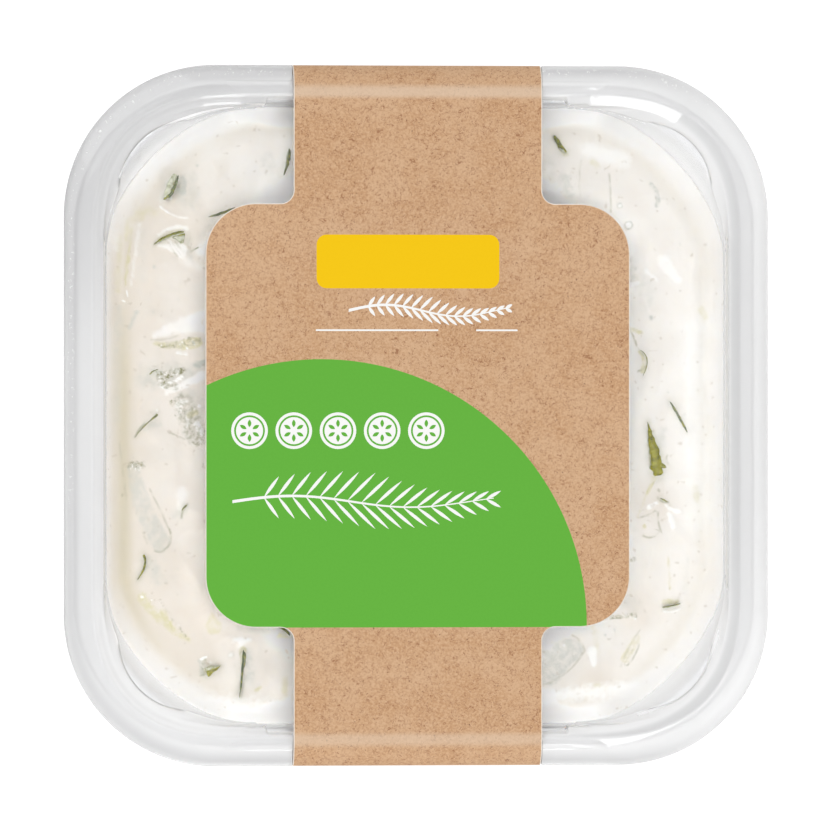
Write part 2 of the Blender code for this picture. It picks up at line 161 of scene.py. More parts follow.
def outline(half_x, half_y, radius, arc_steps, sides, reach=None):
    """Rings of rounded rectangles, as arrays of x and of y, one row for each ring.

    Half widths and radius are columns. A corner is centre + reach * (cos, sin) of its angle,
    where reach is the radius unless it is given. A straight side has points at the distances in
    sides from its middle, or at shares of its length where sides lie between -1 and 1. In the
    first case its first and last points lie a little before the arcs.
    """
    angle = np.linspace(0.0, math.pi / 2, arc_steps + 1)[None, :]
    reach = radius if reach is None else reach
    span = sides[None, :] + 0 * half_x
    shares = np.abs(sides).max() <= 1.0
    xs, ys = [], []
    for quarter, (sign_x, sign_y) in enumerate(((1, 1), (-1, 1), (-1, -1), (1, -1))):
        turn = quarter * math.pi / 2
        xs.append(sign_x * (half_x - radius) + reach * np.cos(turn + angle))
        ys.append(sign_y * (half_y - radius) + reach * np.sin(turn + angle))
        flat = (half_y if quarter % 2 else half_x) - radius
        along = span * flat if shares else span * MM
        if not shares:
            along[:, :1], along[:, -1:] = BEFORE_ARC - flat, flat - BEFORE_ARC
        if quarter % 2 == 0:
            xs.append(-sign_x * along)
            ys.append(sign_y * half_y + 0 * along)
        else:
            xs.append(sign_x * half_x + 0 * along)
            ys.append(-sign_y * along)
    return np.hstack(xs), np.hstack(ys)


def back_of(table, height_column, sheet):
    """The stations of a sheet's other side, and how far each one moved outwards.

    Along the profile the step is (outwards, upwards). A quarter turn of it, (-upwards, outwards),
    points into the sheet. Half widths and corner radius grow by its first part times the sheet,
    so the arcs keep their centres and no fold can form.
    """
    step = np.gradient(table[:, [0, height_column]], axis=0)
    step /= np.maximum(np.linalg.norm(step, axis=1, keepdims=True), 1e-12)
    grow = -sheet * step[:, 1]
    back = table.copy()
    back[:, :height_column] += grow[:, None]
    back[:, height_column] += sheet * step[:, 0]
    return back, grow[:, None]


def ring_faces(rows, columns):
    """Quads between neighbouring closed rings whose points are numbered ring by ring."""
    row, column = np.meshgrid(np.arange(rows - 1), np.arange(columns), indexing="ij")
    beside = (column + 1) % columns
    corners = (row * columns + column, row * columns + beside)
    above = (corners[1] + columns, corners[0] + columns)
    return np.stack([*corners, *above], axis=-1).reshape(-1, 4)


def solid_of_rings(name, rings):
    """A closed mesh over rings, with a fan of triangles to a middle point at both ends."""
    rows, columns = rings.shape[:2]
    points = rings.reshape(-1, 3)
    poles = np.array([rings[0].mean(axis=0), rings[-1].mean(axis=0)])
    this = np.arange(columns)
    beside = (this + 1) % columns
    top = (rows - 1) * columns
    first_pole = np.full(columns, rows * columns)
    fans = np.vstack([
        np.column_stack([beside, this, first_pole]),
        np.column_stack([top + this, top + beside, first_pole + 1]),
    ])
    mesh = bpy.data.meshes.new(name)
    faces = ring_faces(rows, columns).tolist() + fans.tolist()
    mesh.from_pydata(np.vstack([points, poles]).tolist(), [], faces)
    mesh.shade_smooth()
    return mesh


def shell_of_rings(name, rings, back):
    """A closed shell: the rings of one side and of the other, joined at the rim."""
    return solid_of_rings(name, np.concatenate([back[::-1], rings]))


print("two rings of four points have", len(ring_faces(2, 4)), "faces between them")

# %% [markdown]
# ## Unevenness, and a finished piece
#
# Formed plastic waves a little, and yoghurt is full of strokes. Both come from random values on a
# lattice, blended smoothly, which are the same at each run. A piece that is done is put in the
# scene by one helper, which also hides the solid it stands for.

# %% Unevenness, and a finished piece


def cloud(x, y, size, seed):
    """Soft random heights from -1 to 1: random values on a square lattice, blended smoothly."""
    cells = 64
    lattice = np.random.default_rng(seed).uniform(-1.0, 1.0, (cells, cells))
    u, v = x / size + cells / 2, y / size + cells / 2
    i, j = np.floor(u).astype(int), np.floor(v).astype(int)
    s, t = u - i, v - j
    s, t = s * s * (3 - 2 * s), t * t * (3 - 2 * t)
    i, j, k, m = i % cells, j % cells, (i + 1) % cells, (j + 1) % cells
    near = lattice[i, j] * (1 - s) + lattice[k, j] * s
    far = lattice[i, m] * (1 - s) + lattice[k, m] * s
    return near * (1 - t) + far * t


def set_attribute(mesh, name, values):
    """Stores one number for each point of a mesh, for its material to read."""
    made = mesh.attributes.new(name, "FLOAT", "POINT")
    made.data.foreach_set("value", np.asarray(values, np.float32).ravel())


def add_piece(name, mesh, node=None, materials=()):
    """Puts a mesh and its finishes in the scene as a piece of the pack, in place of a solid if named."""
    piece = bpy.data.objects.new(name, mesh)
    bpy.context.scene.collection.objects.link(piece)
    for finish in materials:
        mesh.materials.append(finish)
    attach(piece, "root")
    if node:
        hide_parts(node)
    print(name, len(mesh.vertices), "points,", len(mesh.polygons), "faces")


print("unevenness at one place:", cloud(np.array([1.5]), np.array([2.5]), 1.0, SEED).round(3))

# %% [markdown]
# ## Helpers for materials
#
# Each finish is a small node tree round one Principled shader. These helpers keep the trees
# short: a colour from how a screen shows it, a new node with its inputs, and coordinates in
# millimetres on the piece, so that every pattern has its real size.

# %% Helpers for materials


def screen(red, green, blue):
    """A colour as a screen shows it, from 0 to 255, as the linear colour that a shader reads."""
    share = np.array([red, green, blue]) / 255.0
    linear = np.where(share <= 0.04045, share / 12.92, ((share + 0.055) / 1.055) ** 2.4)
    return (*[float(value) for value in linear], 1.0)


class Finish:
    """A material with a Principled shader, and short ways to add nodes to it."""

    def __init__(self, name, colour, roughness):
        self.material = bpy.data.materials.new(name)
        self.material.use_nodes = True
        self.tree = self.material.node_tree
        self.shader = self.tree.nodes["Principled BSDF"]
        self.shader.inputs["Base Color"].default_value = colour
        self.shader.inputs["Roughness"].default_value = roughness

    def fill(self, socket, value):
        """Gives an input its value: another socket to link, a number or a colour."""
        if isinstance(value, bpy.types.NodeSocket):
            self.tree.links.new(value, socket)
        else:
            socket.default_value = value

    def node(self, kind, inputs=None, **settings):
        """A new node with its settings, and with its inputs filled."""
        made = self.tree.nodes.new(kind)
        for key, value in settings.items():
            setattr(made, key, value)
        for key, value in (inputs or {}).items():
            self.fill(made.inputs[key], value)
        return made

    def place(self, shift=(0.0, 0.0, 0.0)):
        """Coordinates on the piece in millimetres, plus a shift."""
        found = self.node("ShaderNodeTexCoord").outputs["Object"]
        inputs = {"Vector": found, "Scale": (1 / MM, 1 / MM, 1 / MM), "Location": shift}
        return self.node("ShaderNodeMapping", inputs).outputs["Vector"]

    def noise(self, place, scale, detail=2.0, roughness=0.5, distortion=0.0):
        """Noise with features of about 1 / scale millimetres."""
        inputs = {"Vector": place, "Scale": scale, "Detail": detail, "Roughness": roughness}
        inputs["Distortion"] = distortion
        return self.node("ShaderNodeTexNoise", inputs).outputs["Fac"]

    def ramp(self, value, low, high, start=0.0, end=1.0):
        """A number mapped from low..high to start..end, smoothly and clamped."""
        inputs = {"Value": value, "From Min": low, "From Max": high, "To Min": start, "To Max": end}
        return self.node("ShaderNodeMapRange", inputs, interpolation_type="SMOOTHSTEP").outputs["Result"]

    def maths(self, operation, first, second):
        """Two numbers added, subtracted and so on."""
        return self.node("ShaderNodeMath", {0: first, 1: second}, operation=operation).outputs[0]

    def times(self, first, second):
        """Two numbers multiplied."""
        return self.maths("MULTIPLY", first, second)

    def blend(self, share, first, second):
        """One colour turning into another as share goes from 0 to 1."""
        return self.node("ShaderNodeMix", {0: share, 6: first, 7: second}, data_type="RGBA").outputs[2]

    def attribute(self, name):
        """A number stored on the mesh's points."""
        return self.node("ShaderNodeAttribute", attribute_name=name).outputs["Fac"]

    def bump(self, height, distance, strength=1.0):
        """Relief finer than the mesh: height times distance, in metres."""
        made = self.node("ShaderNodeBump", {"Height": height, "Distance": distance, "Strength": strength})
        self.tree.links.new(made.outputs["Normal"], self.shader.inputs["Normal"])

    def feed(self, **values):
        """Fills the shader's inputs, which are named with _ for a space."""
        for key, value in values.items():
            self.fill(self.shader.inputs[key.replace("_", " ")], value)


print("a screen's middle grey is", round(screen(128, 128, 128)[0], 3), "to a shader")

# %% [markdown]
# ## Clear and milky plastic
#
# Tub and lid are formed from the same sheet. Where it was drawn out flat it is clear, and round
# the rim it is milky: about half of the light goes through and the rest is scattered, which is a
# transmission weight of a half. Real glass shading still bends and mirrors what passes, which
# draws the fine lines at each step. A shadow ray meets a plain see-through surface instead, so
# that lamps reach the dip. How grey the milk is comes from a number on the mesh, which paints
# shade and light into it, and white flecks on the crimped skirt are painted glints.

# %% Clear and milky plastic
SHEET_ROUGHNESS = 0.04
SHEET_IOR = 1.45
FULL_WHITE = (1.0, 1.0, 1.0, 1.0)


def sheet_plastic(name, tint, passes, shadow, wave, milk_and_shade=None, mirror=1.0):
    """Plastic sheet: a glass shader with a share that scatters, and see-through for shadow rays.

    Its relief is broad noise plus a little fine noise. The milky tone is a pair of colours, for a
    grey of 0 and of 1, and the grey paints shade and light. Where the sheet shows crimping it has
    raised flecks, painted white as glints.
    """
    made = Finish(name, (*tint, 1.0), SHEET_ROUGHNESS)
    made.feed(Transmission_Weight=passes, IOR=SHEET_IOR, Specular_Tint=(mirror, mirror, mirror, 1.0))
    place = made.place()
    broad = made.noise(place, 0.09, 1.0)
    fine = made.noise(place, 1.4, 2.0)
    height = made.maths("ADD", broad, made.times(fine, 0.004))
    if milk_and_shade:
        # The grey number paints shade and light into the milk's tone.
        shade = made.blend(made.attribute("grey"), (*milk_and_shade[0], 1.0), (*milk_and_shade[1], 1.0))
        # Painted glints: white flecks on the crimped band, which the bump also raises.
        flecks = made.ramp(made.noise(place, 1.5, 3.0, 0.7), 0.58, 0.66)
        crimp_and_glint_flecks = made.times(made.attribute("crimp_and_glint"), flecks)
        made.feed(Base_Color=made.blend(crimp_and_glint_flecks, shade, FULL_WHITE))
        height = made.maths("ADD", height, made.times(crimp_and_glint_flecks, 0.8))
    made.bump(height, wave)
    path = made.node("ShaderNodeLightPath")
    through = made.node("ShaderNodeBsdfTransparent", {"Color": (shadow, shadow, shadow, 1.0)})
    mixed = made.node("ShaderNodeMixShader", {0: path.outputs["Is Shadow Ray"]})
    made.tree.links.new(made.shader.outputs[0], mixed.inputs[1])
    made.tree.links.new(through.outputs[0], mixed.inputs[2])
    made.tree.links.new(mixed.outputs[0], made.tree.nodes["Material Output"].inputs["Surface"])
    return made.material


lid_clear = sheet_plastic("lid_clear", (0.98, 0.982, 0.985), 1.0, 0.97, 0.05 * MM, mirror=0.35)
lid_milk_and_shade = (1.0, 1.0, 1.0), (0.68, 0.68, 0.685)
lid_milky = sheet_plastic("lid_milky", (0.85, 0.85, 0.86), 0.5, 0.94, 0.04 * MM, milk_and_shade=lid_milk_and_shade)
tub_milk_and_shade = (0.95, 0.95, 0.955), (0.70, 0.70, 0.71)
tub_milky = sheet_plastic("tub_milky", (0.92, 0.92, 0.93), 0.5, 0.95, 0.06 * MM, milk_and_shade=tub_milk_and_shade)
# Two opaque whites are painted highlights: a fine line where the sheet folds hardest, and a strip along the
# wall's foot.
fold_highlight_white = Finish("lid_fold_highlight", (0.96, 0.96, 0.965, 1.0), 0.15).material
foot_highlight = Finish("lid_foot_highlight", (0.98, 0.975, 0.96, 1.0), 0.3).material
print("a clear plastic, two milky ones, and two whites for a hard fold and for the wall's foot")

# %% [markdown]
# ## The lid
#
# The lid is one sheet: a skirt, a broad rim, a wall that steps down to a recess, and a floor
# that lies on the tub's flange. The recess has a lobe in each corner, and on the two sides that
# the card crosses a shallow bay in its wall and a seat in its skirt. The profile is a short table
# of stations, rounded off by cutting its corners, and each station is one ring.

# %% The lid's profile and rings
# Half width in X, corner radius, height from the top, the shares of lobes, seat and bay, and how
# much squarer than a circle the corner is
LID_STATIONS = np.array([
    (55.4, 23.7, -5.8, 0.0, 1.0, 0.0, 0.0),
    (56.0, 24.0, -1.5, 0.0, 1.8, 0.0, 0.0),
    (55.8, 23.9, -1.15, 0.0, 2.1, 0.0, 0.0),
    (53.8, 23.2, -0.38, 0.0, 1.4, 0.0, 0.0),
    (53.0, 22.8, -0.17, 0.0, 1.2, 0.0, 0.0),
    (51.5, 24.0, 0.0, 0.0, 0.6, 0.0, 0.6),
    (51.25, 23.75, -0.12, 0.05, 0.3, 0.0, 0.6),
    (51.0, 23.5, -0.32, 0.1, 0.2, 0.0, 0.6),
    (49.8, 22.3, -1.27, 0.1, 0.0, -0.6, 0.6),
    (49.55, 22.05, -1.47, 0.1, 0.0, -0.7, 0.6),
    (49.35, 23.6, -3.0, 0.95, 0.0, -0.95, 0.0),
    (49.1, 23.6, -3.3, 1.0, 0.0, -1.0, 0.0),
    (48.3, 22.8, -3.3, 1.0, 0.0, -1.0, 0.0),
])
LID_SHEET = 0.35
# Depths, and the distances from the side's middle up to which they are full and past which none
SEAT_DEPTH, SEAT_FULL, SEAT_NONE = 0.85 * MM, 19.73 * MM, 19.83 * MM
BAY_DEPTH, BAY_FULL, BAY_NONE = 1.0 * MM, 23.6 * MM, 24.2 * MM
# On the straight sides the wall is steeper and the crown flatter, and the left slope lies lower
STEEPER = 0.35 * MM
FLATTER = 0.12 * MM
SINK_LEFT = 0.2 * MM
LOBE_RADIUS = 9.1 * MM
LOBE_CENTRE = 37.6 * MM
LOBE_BLEND = 0.9 * MM
LID_ARC_STEPS = 52
# The floor's rings as shares of its edge, and how high and how wide its faint waves are
FLOOR_SHRINK = np.array([0.97, 0.92, 0.84, 0.72, 0.56, 0.36, 0.14])
FLOOR_WAVE, FLOOR_WAVE_SIZE = 0.04 * MM, 21 * MM


def lobed_reach(radius, arc_centre, share, square, grow):
    """Distance from a corner's arc centre to its wall: the larger of two curves, blended.

    The first is radius / (cos^n + sin^n)^(1 / n), a circle for n = 2 and squarer for more. The
    second is a circle on the diagonal, away from the arc's centre. Seen from that centre at an
    angle, it is away * cos + sqrt(R^2 - (away * sin)^2) distant.
    """
    swing = np.linspace(-math.pi / 4, math.pi / 4, LID_ARC_STEPS + 1)[None, :]
    angle, power = swing + math.pi / 4, 2.0 + square
    radius = radius / (np.abs(np.cos(angle)) ** power + np.abs(np.sin(angle)) ** power) ** (1.0 / power)
    away = math.sqrt(2.0) * (LOBE_CENTRE - arc_centre)
    under_root = (LOBE_RADIUS + grow) ** 2 - (away * np.sin(swing)) ** 2
    over = away * np.cos(swing) + np.sqrt(np.maximum(under_root, 0.0)) - radius
    blended = 0.5 * (over + np.sqrt(over**2 + LOBE_BLEND**2))
    return radius + share * np.where(under_root > 0, blended, 0.0)


def side_marks():
    """Distances from a side's middle in millimetres, close together where seat and bay end."""
    ends = [np.linspace(19.71, 19.85, 8), np.linspace(23.4, 24.4, 11)]
    half = np.concatenate([[4.0, 9.0, 14.0, 18.0], ends[0], [20.5, 21.5, 22.5], ends[1], [24.85]])
    return np.concatenate([-half[::-1], [0.0], half])


def lid_rings(table, grow):
    """All rings of one side of the lid: the rim's profile, then the recess floor to the middle.

    Seat and bay move a side's points inwards by their depth times a soft step along the side.
    """
    half, radius, drop, lobes, seat, bay, square = (table[:, i : i + 1] for i in range(7))
    half, radius, grow = half * MM, radius * MM, grow * MM
    half_y = half - (HALF_X - HALF_Y)
    reach = lobed_reach(radius, half - radius, lobes, square, grow)
    x, y = outline(half, half_y, radius, LID_ARC_STEPS, side_marks(), reach)
    on_side = np.abs(np.abs(y) - half_y) < 1e-9
    near = np.abs(x)
    y -= np.sign(y) * on_side * seat * SEAT_DEPTH * smoothstep(SEAT_NONE, SEAT_FULL, near)
    y -= np.sign(y) * on_side * bay * BAY_DEPTH * smoothstep(BAY_NONE, BAY_FULL, near)
    straight = on_side * (near < half - radius - BEFORE_ARC / 2)
    y -= np.sign(y) * straight * bay * STEEPER
    crown = straight * (half < 53.4 * MM) * smoothstep(51.7 * MM, 52.6 * MM, half)
    slope = square / square.max() * smoothstep(0.4, 1.1, -drop)
    sink = slope * SINK_LEFT * smoothstep(5.0 * MM, -5.0 * MM, x)
    rim = np.stack([x, y, LID_TOP + drop * MM + crown * FLATTER - sink], axis=-1)
    shrunk = np.repeat(rim[-1:], len(FLOOR_SHRINK), axis=0)
    shrunk[:, :, :2] *= FLOOR_SHRINK[:, None, None]
    rings = np.concatenate([rim, shrunk])
    flat = smoothstep(49.0 * MM, 40.0 * MM, np.abs(rings[:, :, :2]).max(axis=-1))
    rings[:, :, 2] += flat * FLOOR_WAVE * cloud(rings[:, :, 0], rings[:, :, 1], FLOOR_WAVE_SIZE, SEED)
    return rings


lid_table = cut_corners(LID_STATIONS, 3)
lid_surface = lid_rings(lid_table, np.zeros((len(lid_table), 1)))
lid_underside = lid_rings(*back_of(lid_table, 2, LID_SHEET))
print("lid rings", lid_surface.shape[0], "of", lid_surface.shape[1], "points")

# %% [markdown]
# ## Make the lid
#
# The milk's grey is painted shade and light, and not even: it is greyer round the shoulder and at
# one corner, and pale down the wall, because light comes from one side and the wall is seen from
# its edge. That is worked out for each point as a sum of soft steps. The wall's foot is a thin
# strip of white that paints a highlight, and where the sheet was folded hardest, in two corners,
# a finer one paints another.

# %% Make the lid
MILKY, CLEAR, FOLD_HIGHLIGHT, FOOT = range(4)
LID_FINISHES = [lid_milky, lid_clear, fold_highlight_white, foot_highlight]
# Half widths of the profile where the milky sheet ends, and middles and halves of two painted highlights
MILKY_END = 49.32
FOOT_AT, FOOT_HALF = 49.48, 0.15
FOLD_AT, FOLD_HALF = 49.42, 0.03


def lid_milk_and_painted_shade(x, y, outwards):
    """How grey the milky sheet is, as painted shade and light: a base, and soft steps that are added to it
    or taken away.
    """
    back_left = (y - x) / 80.0
    right = smoothstep(20.0, 48.0, x)
    wall = smoothstep(51.8 - 1.4 * right, 50.8 - 1.4 * right, outwards)
    in_bay = smoothstep(24.4, 23.6, np.abs(x)) * (np.abs(y) > 40)
    corners = 0.32 * smoothstep(0.75, 1.15, back_left) - 0.11 * smoothstep(0.75, 1.15, -back_left)
    shoulder = 0.40 * smoothstep(53.2, 55.0, outwards) * (1.0 - 1.6 * smoothstep(30.0, 54.0, x))
    top_line = 0.12 * right * np.exp(-(((outwards - 51.2) / 0.7) ** 2))
    pale_wall = 0.6 * wall * (1.0 - 0.4 * smoothstep(20.0, 50.0, y))
    pale_edge = 0.35 * (1.0 - right) * smoothstep(55.0, 55.7, outwards)
    pale_bay = 0.5 * in_bay * smoothstep(51.3, 50.8, outwards)
    return 0.60 + corners + shoulder + top_line - pale_wall - pale_edge - pale_bay


def lid_crimp_and_glint(x, y, outwards):
    """Where the skirt's top edge shows crimping with painted white glints: a band on the upper face, from
    the back round the left.
    """
    band = smoothstep(54.2, 54.7, outwards) * smoothstep(55.5, 55.0, outwards)
    upper = np.arange(len(outwards))[:, None] > 2
    return band * upper * smoothstep(0.1, 0.6, (y - 0.6 * x) / 60.0)


def lid_faces(x, y, outwards):
    """Which finish each face has: ring by ring out along the underside, then in over the top."""
    rows, columns = x.shape
    milky_rows = int((lid_table[:, 0] > MILKY_END).sum())
    from_edge = np.abs(np.arange(2 * rows - 1) - (rows - 1))
    in_floor = np.concatenate([from_edge >= milky_rows, [True, True]])
    faces = np.repeat(np.where(in_floor, CLEAR, MILKY), columns).astype(np.int32)
    upper = faces[rows * columns : (2 * rows - 1) * columns].reshape(rows - 1, columns)
    # The foot strip and the fold line get the whites that paint highlights.
    straight = smoothstep(29.0, 25.0, np.abs(y)) + smoothstep(24.9, 24.5, np.abs(x))
    upper[(np.abs(outwards - FOOT_AT) < FOOT_HALF * straight)[:-1]] = FOOT
    back_left = smoothstep(-26.0, -32.0, x) * smoothstep(35.0, 41.0, y)
    front_right = smoothstep(32.0, 38.0, x) * smoothstep(-32.0, -38.0, y)
    upper[(np.abs(outwards - FOLD_AT) < FOLD_HALF * (back_left + front_right))[:-1]] = FOLD_HIGHLIGHT
    return faces


def make_lid():
    """The lid's shell, with the numbers that its milky sheet reads, and the finish of each face."""
    mesh = shell_of_rings("lid_shell", lid_surface, lid_underside)
    x, y = lid_surface[:, :, 0] / MM, lid_surface[:, :, 1] / MM
    outwards = np.append(lid_table[:, 0], np.zeros(len(FLOOR_SHRINK)))[:, None]
    numbers = {"grey": lid_milk_and_painted_shade(x, y, outwards), "crimp_and_glint": lid_crimp_and_glint(x, y, outwards)}
    for name, values in numbers.items():
        set_attribute(mesh, name, np.concatenate([values[::-1].ravel(), values.ravel(), [0.0, 0.0]]))
    mesh.polygons.foreach_set("material_index", lid_faces(x, y, outwards))
    add_piece("lid_shell", mesh, "lid", LID_FINISHES)


make_lid()

# %% [markdown]
# ## The tub
#
# The tub is formed the same way: a lip, a flat flange under the lid's recess floor, a wall that
# tapers down, and a flat floor with a soft corner. The dip lies against its inner face.

# %% The tub
# Inside: half width in X, half width in Y, corner radius, height
LIP_DROP = 2.4
flange, floor_height = FLANGE_TOP / MM, TUB_FLOOR / MM
TUB_STATIONS = np.array([
    (54.3, 52.6, 23.0, flange - LIP_DROP),
    (54.1, 52.4, 22.8, flange),
    (50.4, 49.9, 23.0, flange),
    (49.7, 49.2, 23.2, flange - 0.7),
    (47.6, 47.1, 24.2, 20.0),
    (44.2, 43.7, 23.4, 7.5),
    (42.9, 42.4, 22.6, floor_height + 2.2),
    (41.0, 40.5, 21.0, floor_height + 0.5),
    (38.8, 38.3, 19.2, floor_height),
    (36.0, 35.5, 17.5, floor_height),
])
TUB_SHEET = 0.5
HALF_Y_LESS = (HALF_X - HALF_Y) / MM
TUB_ARC_STEPS = 60
TUB_SIDES = np.linspace(-0.94, 0.94, 15)


def tub_rings(table):
    """Rings of one side of the tub, from the lip over the flange and down to the floor's middle."""
    half_x, half_y, radius, height = (table[:, i : i + 1] * MM for i in range(4))
    x, y = outline(half_x, half_y, radius, TUB_ARC_STEPS, TUB_SIDES)
    wall = np.stack([x, y, height + 0 * x], axis=-1)
    floor = np.repeat(wall[-1:], len(FLOOR_SHRINK), axis=0)
    floor[:, :, :2] *= FLOOR_SHRINK[:, None, None]
    return np.concatenate([wall, floor])


def tub_milk_and_painted_shade(x, y, z):
    """How grey the milky sheet is: more at three corners as painted shade, little where the dip smears the
    wall white.
    """
    back_left = 0.55 * smoothstep(60.0, 76.0, y - x)
    others = 0.25 * smoothstep(62.0, 78.0, np.maximum(np.abs(y + x), x - y))
    smear = smoothstep(27.8, 24.6, z)
    inner = smoothstep(51.8, 50.8, np.maximum(np.abs(x), np.abs(y) + HALF_Y_LESS))
    return (0.3 + back_left + others) * (1.0 - 0.85 * smear) - 0.25 * inner


def make_tub():
    """The tub's shell, with the numbers that its milky sheet reads."""
    inside = tub_rings(tub_table)
    outside = tub_rings(back_of(tub_table, 3, TUB_SHEET)[0])
    mesh = shell_of_rings("tub_shell", inside, outside)
    points = np.concatenate([outside[::-1].reshape(-1, 3), inside.reshape(-1, 3), np.zeros((2, 3))])
    grey = tub_milk_and_painted_shade(*(points / MM).T)
    set_attribute(mesh, "grey", grey)
    set_attribute(mesh, "crimp_and_glint", 0 * grey)
    add_piece("tub_shell", mesh, "tub", [tub_milky])


tub_table = cut_corners(TUB_STATIONS, 3)
make_tub()

# %% [markdown]
# ## The sleeve's form
#
# The sleeve is one strip of card, bent round the pack, with a wide panel on top. Its flat top is
# cut from the card's own outline and the outlines of the print, so that every patch of ink is a
# patch of triangles with a crisp edge. Below each end of the flat top the card follows a path of
# arcs: a slow bend, a tight one, a straight side that leans in, and a bend under the foot.

# %% The card's outline
BAND_HALF = 19.7
PANEL_HALF_X, PANEL_HALF_Y = 33.65, 33.5
PANEL_CORNER = 8.0
NECK_FILLET = 2.1
FLAT_END = 50.2
CUT_EDGE = 0.13


def arc(centre, radius, start, end, steps):
    """Points of an arc from one angle to another, in degrees from +X."""
    angle = np.radians(np.linspace(start, end, steps + 1))
    return np.column_stack([centre[0] + radius * np.cos(angle), centre[1] + radius * np.sin(angle)])


def card_outline(inset):
    """The flat top's outline in millimetres, moved inwards by the inset along its long edges."""
    neck = BAND_HALF + NECK_FILLET, PANEL_HALF_Y + NECK_FILLET
    corner = PANEL_HALF_X - PANEL_CORNER, PANEL_HALF_Y - PANEL_CORNER
    quarter = np.vstack([
        [[BAND_HALF - inset, FLAT_END]],
        arc(neck, NECK_FILLET + inset, 180, 270, 12),
        arc(corner, PANEL_CORNER - inset, 90, 0, 28),
    ])
    right = np.vstack([quarter, quarter[::-1] * [1, -1]])
    return np.vstack([right, right[::-1] * [-1, 1]])


print("card outline", len(card_outline(0.0)), "points")

# %% [markdown]
# ## The print
#
# The label is flat ink on brown card: a large green disc that the panel cuts off, a yellow bar,
# thin white rules, and white drawings of cucumber slices and sprigs of dill. Each shape is a
# closed outline, and a later one is printed over an earlier one.

# %% The print's shapes
KRAFT, CARD_EDGE, GREEN, YELLOW, WHITE = range(5)
DISC_CENTRE, DISC_RADIUS = (-15.3, -33.2), 42.1
# Lower and upper edge of the white rules, and the row of cucumber slices
RULE = 13.35, 13.62
FIRST_SLICE, SLICE_STEP, SLICE_COUNT = (-26.7, -2.4), 7.0, 5


def circle(x, y, radius, steps):
    """A closed circle."""
    return arc((x, y), radius, 0, 360, steps)[:-1]


def bar(left, right, low, high, radius):
    """A bar with round corners: a quarter of a circle at each, one after the other."""
    left, right, low, high = left + radius, right - radius, low + radius, high - radius
    centres = [(right, high), (left, high), (left, low), (right, low)]
    return np.vstack([arc(centre, radius, 90 * i, 90 * i + 90, 8) for i, centre in enumerate(centres)])


def leaf(x, y, length, width, turn):
    """A lens with pointed ends: half its width at s is width / 2 * (1 - s^2), s from -1 to 1."""
    s = np.linspace(-1.0, 1.0, 9)
    rim = 0.5 * width * (1 - s**2)
    along, across = np.concatenate([s, s[-2:0:-1]]) * length / 2, np.concatenate([-rim, rim[-2:0:-1]])
    cos, sin = math.cos(math.radians(turn)), math.sin(math.radians(turn))
    return np.column_stack([x + along * cos - across * sin, y + along * sin + across * cos])


def slice_drawing(x, y, radius):
    """A cucumber slice as a drawing: a white disc with a green ring and six green seeds in it."""
    shapes = [(WHITE, circle(x, y, radius, 40)), (GREEN, circle(x, y, 0.84 * radius, 36))]
    shapes += [(WHITE, circle(x, y, 0.74 * radius, 32))]
    for turn in range(30, 390, 60):
        a = math.radians(turn)
        middle = x + 0.4 * radius * math.cos(a), y + 0.4 * radius * math.sin(a)
        shapes.append((GREEN, leaf(*middle, 0.42 * radius, 0.2 * radius, turn)))
    return shapes


def sprig(left, right, y, reach):
    """A sprig of dill: a wavy stem, and pairs of slim leaves that lean towards its tip."""
    t = np.linspace(0.0, 1.0, 41)
    stem_x, stem_y = left + (right - left) * t, y + 0.9 * np.sin(2.2 * math.pi * t)
    half = 0.24 * (1 - 0.7 * t)
    lower, upper = np.column_stack([stem_x, stem_y - half]), np.column_stack([stem_x, stem_y + half])
    shapes = [(WHITE, np.vstack([lower, upper[::-1]]))]
    for t in np.linspace(0.12, 0.97, 17):
        x, height = left + (right - left) * t, y + 0.9 * math.sin(2.2 * math.pi * t)
        length = reach * (1.0 - 0.55 * abs(2 * t - 0.9))
        for side in (-1, 1):
            lean = side * (58 - 30 * t)
            a = math.radians(lean)
            middle = x + 0.5 * length * math.cos(a), height + 0.5 * length * math.sin(a)
            shapes.append((WHITE, leaf(*middle, length, 0.52, lean)))
    return shapes


def print_shapes():
    """All shapes in the order in which they are printed."""
    dip_angle = math.degrees(math.asin((PANEL_HALF_Y + DISC_CENTRE[1]) / DISC_RADIUS))
    shapes = [(GREEN, arc(DISC_CENTRE, DISC_RADIUS, -dip_angle, 180 + dip_angle, 120))]
    shapes += [(YELLOW, bar(-16.1, 12.9, 20.1, 28.6, 1.6))]
    shapes += [(WHITE, bar(left, right, *RULE, 0.1)) for left, right in ((-16.2, 3.2), (9.2, 15.8))]
    shapes += sprig(-11.0, 14.6, 16.6, 3.0)
    for number in range(SLICE_COUNT):
        shapes += slice_drawing(FIRST_SLICE[0] + SLICE_STEP * number, FIRST_SLICE[1], 2.9)
    return shapes + sprig(-29.4, 12.0, -13.6, 6.4)


printed = print_shapes()
print(len(printed), "printed shapes")

# %% [markdown]
# ## Cut the flat top
#
# All outlines go into one triangulation that keeps them as edges. A triangle then lies inside or
# outside each shape as a whole, so one point of it, its middle, says which ink it carries. The
# even-odd rule answers that for all middles at once.

# %% Cut the flat top


def within(points, shape):
    """Which points lie in a closed outline: those from which a ray in +X crosses it oddly often."""
    x, y = points[:, 0, None], points[:, 1, None]
    start, end = shape, np.roll(shape, -1, axis=0)
    spans = (start[:, 1] > y) != (end[:, 1] > y)
    rise = np.where(start[:, 1] == end[:, 1], 1.0, end[:, 1] - start[:, 1])
    crossing = start[:, 0] + (y - start[:, 1]) / rise * (end[:, 0] - start[:, 0])
    return ((spans & (x < crossing)).sum(axis=1) % 2).astype(bool)


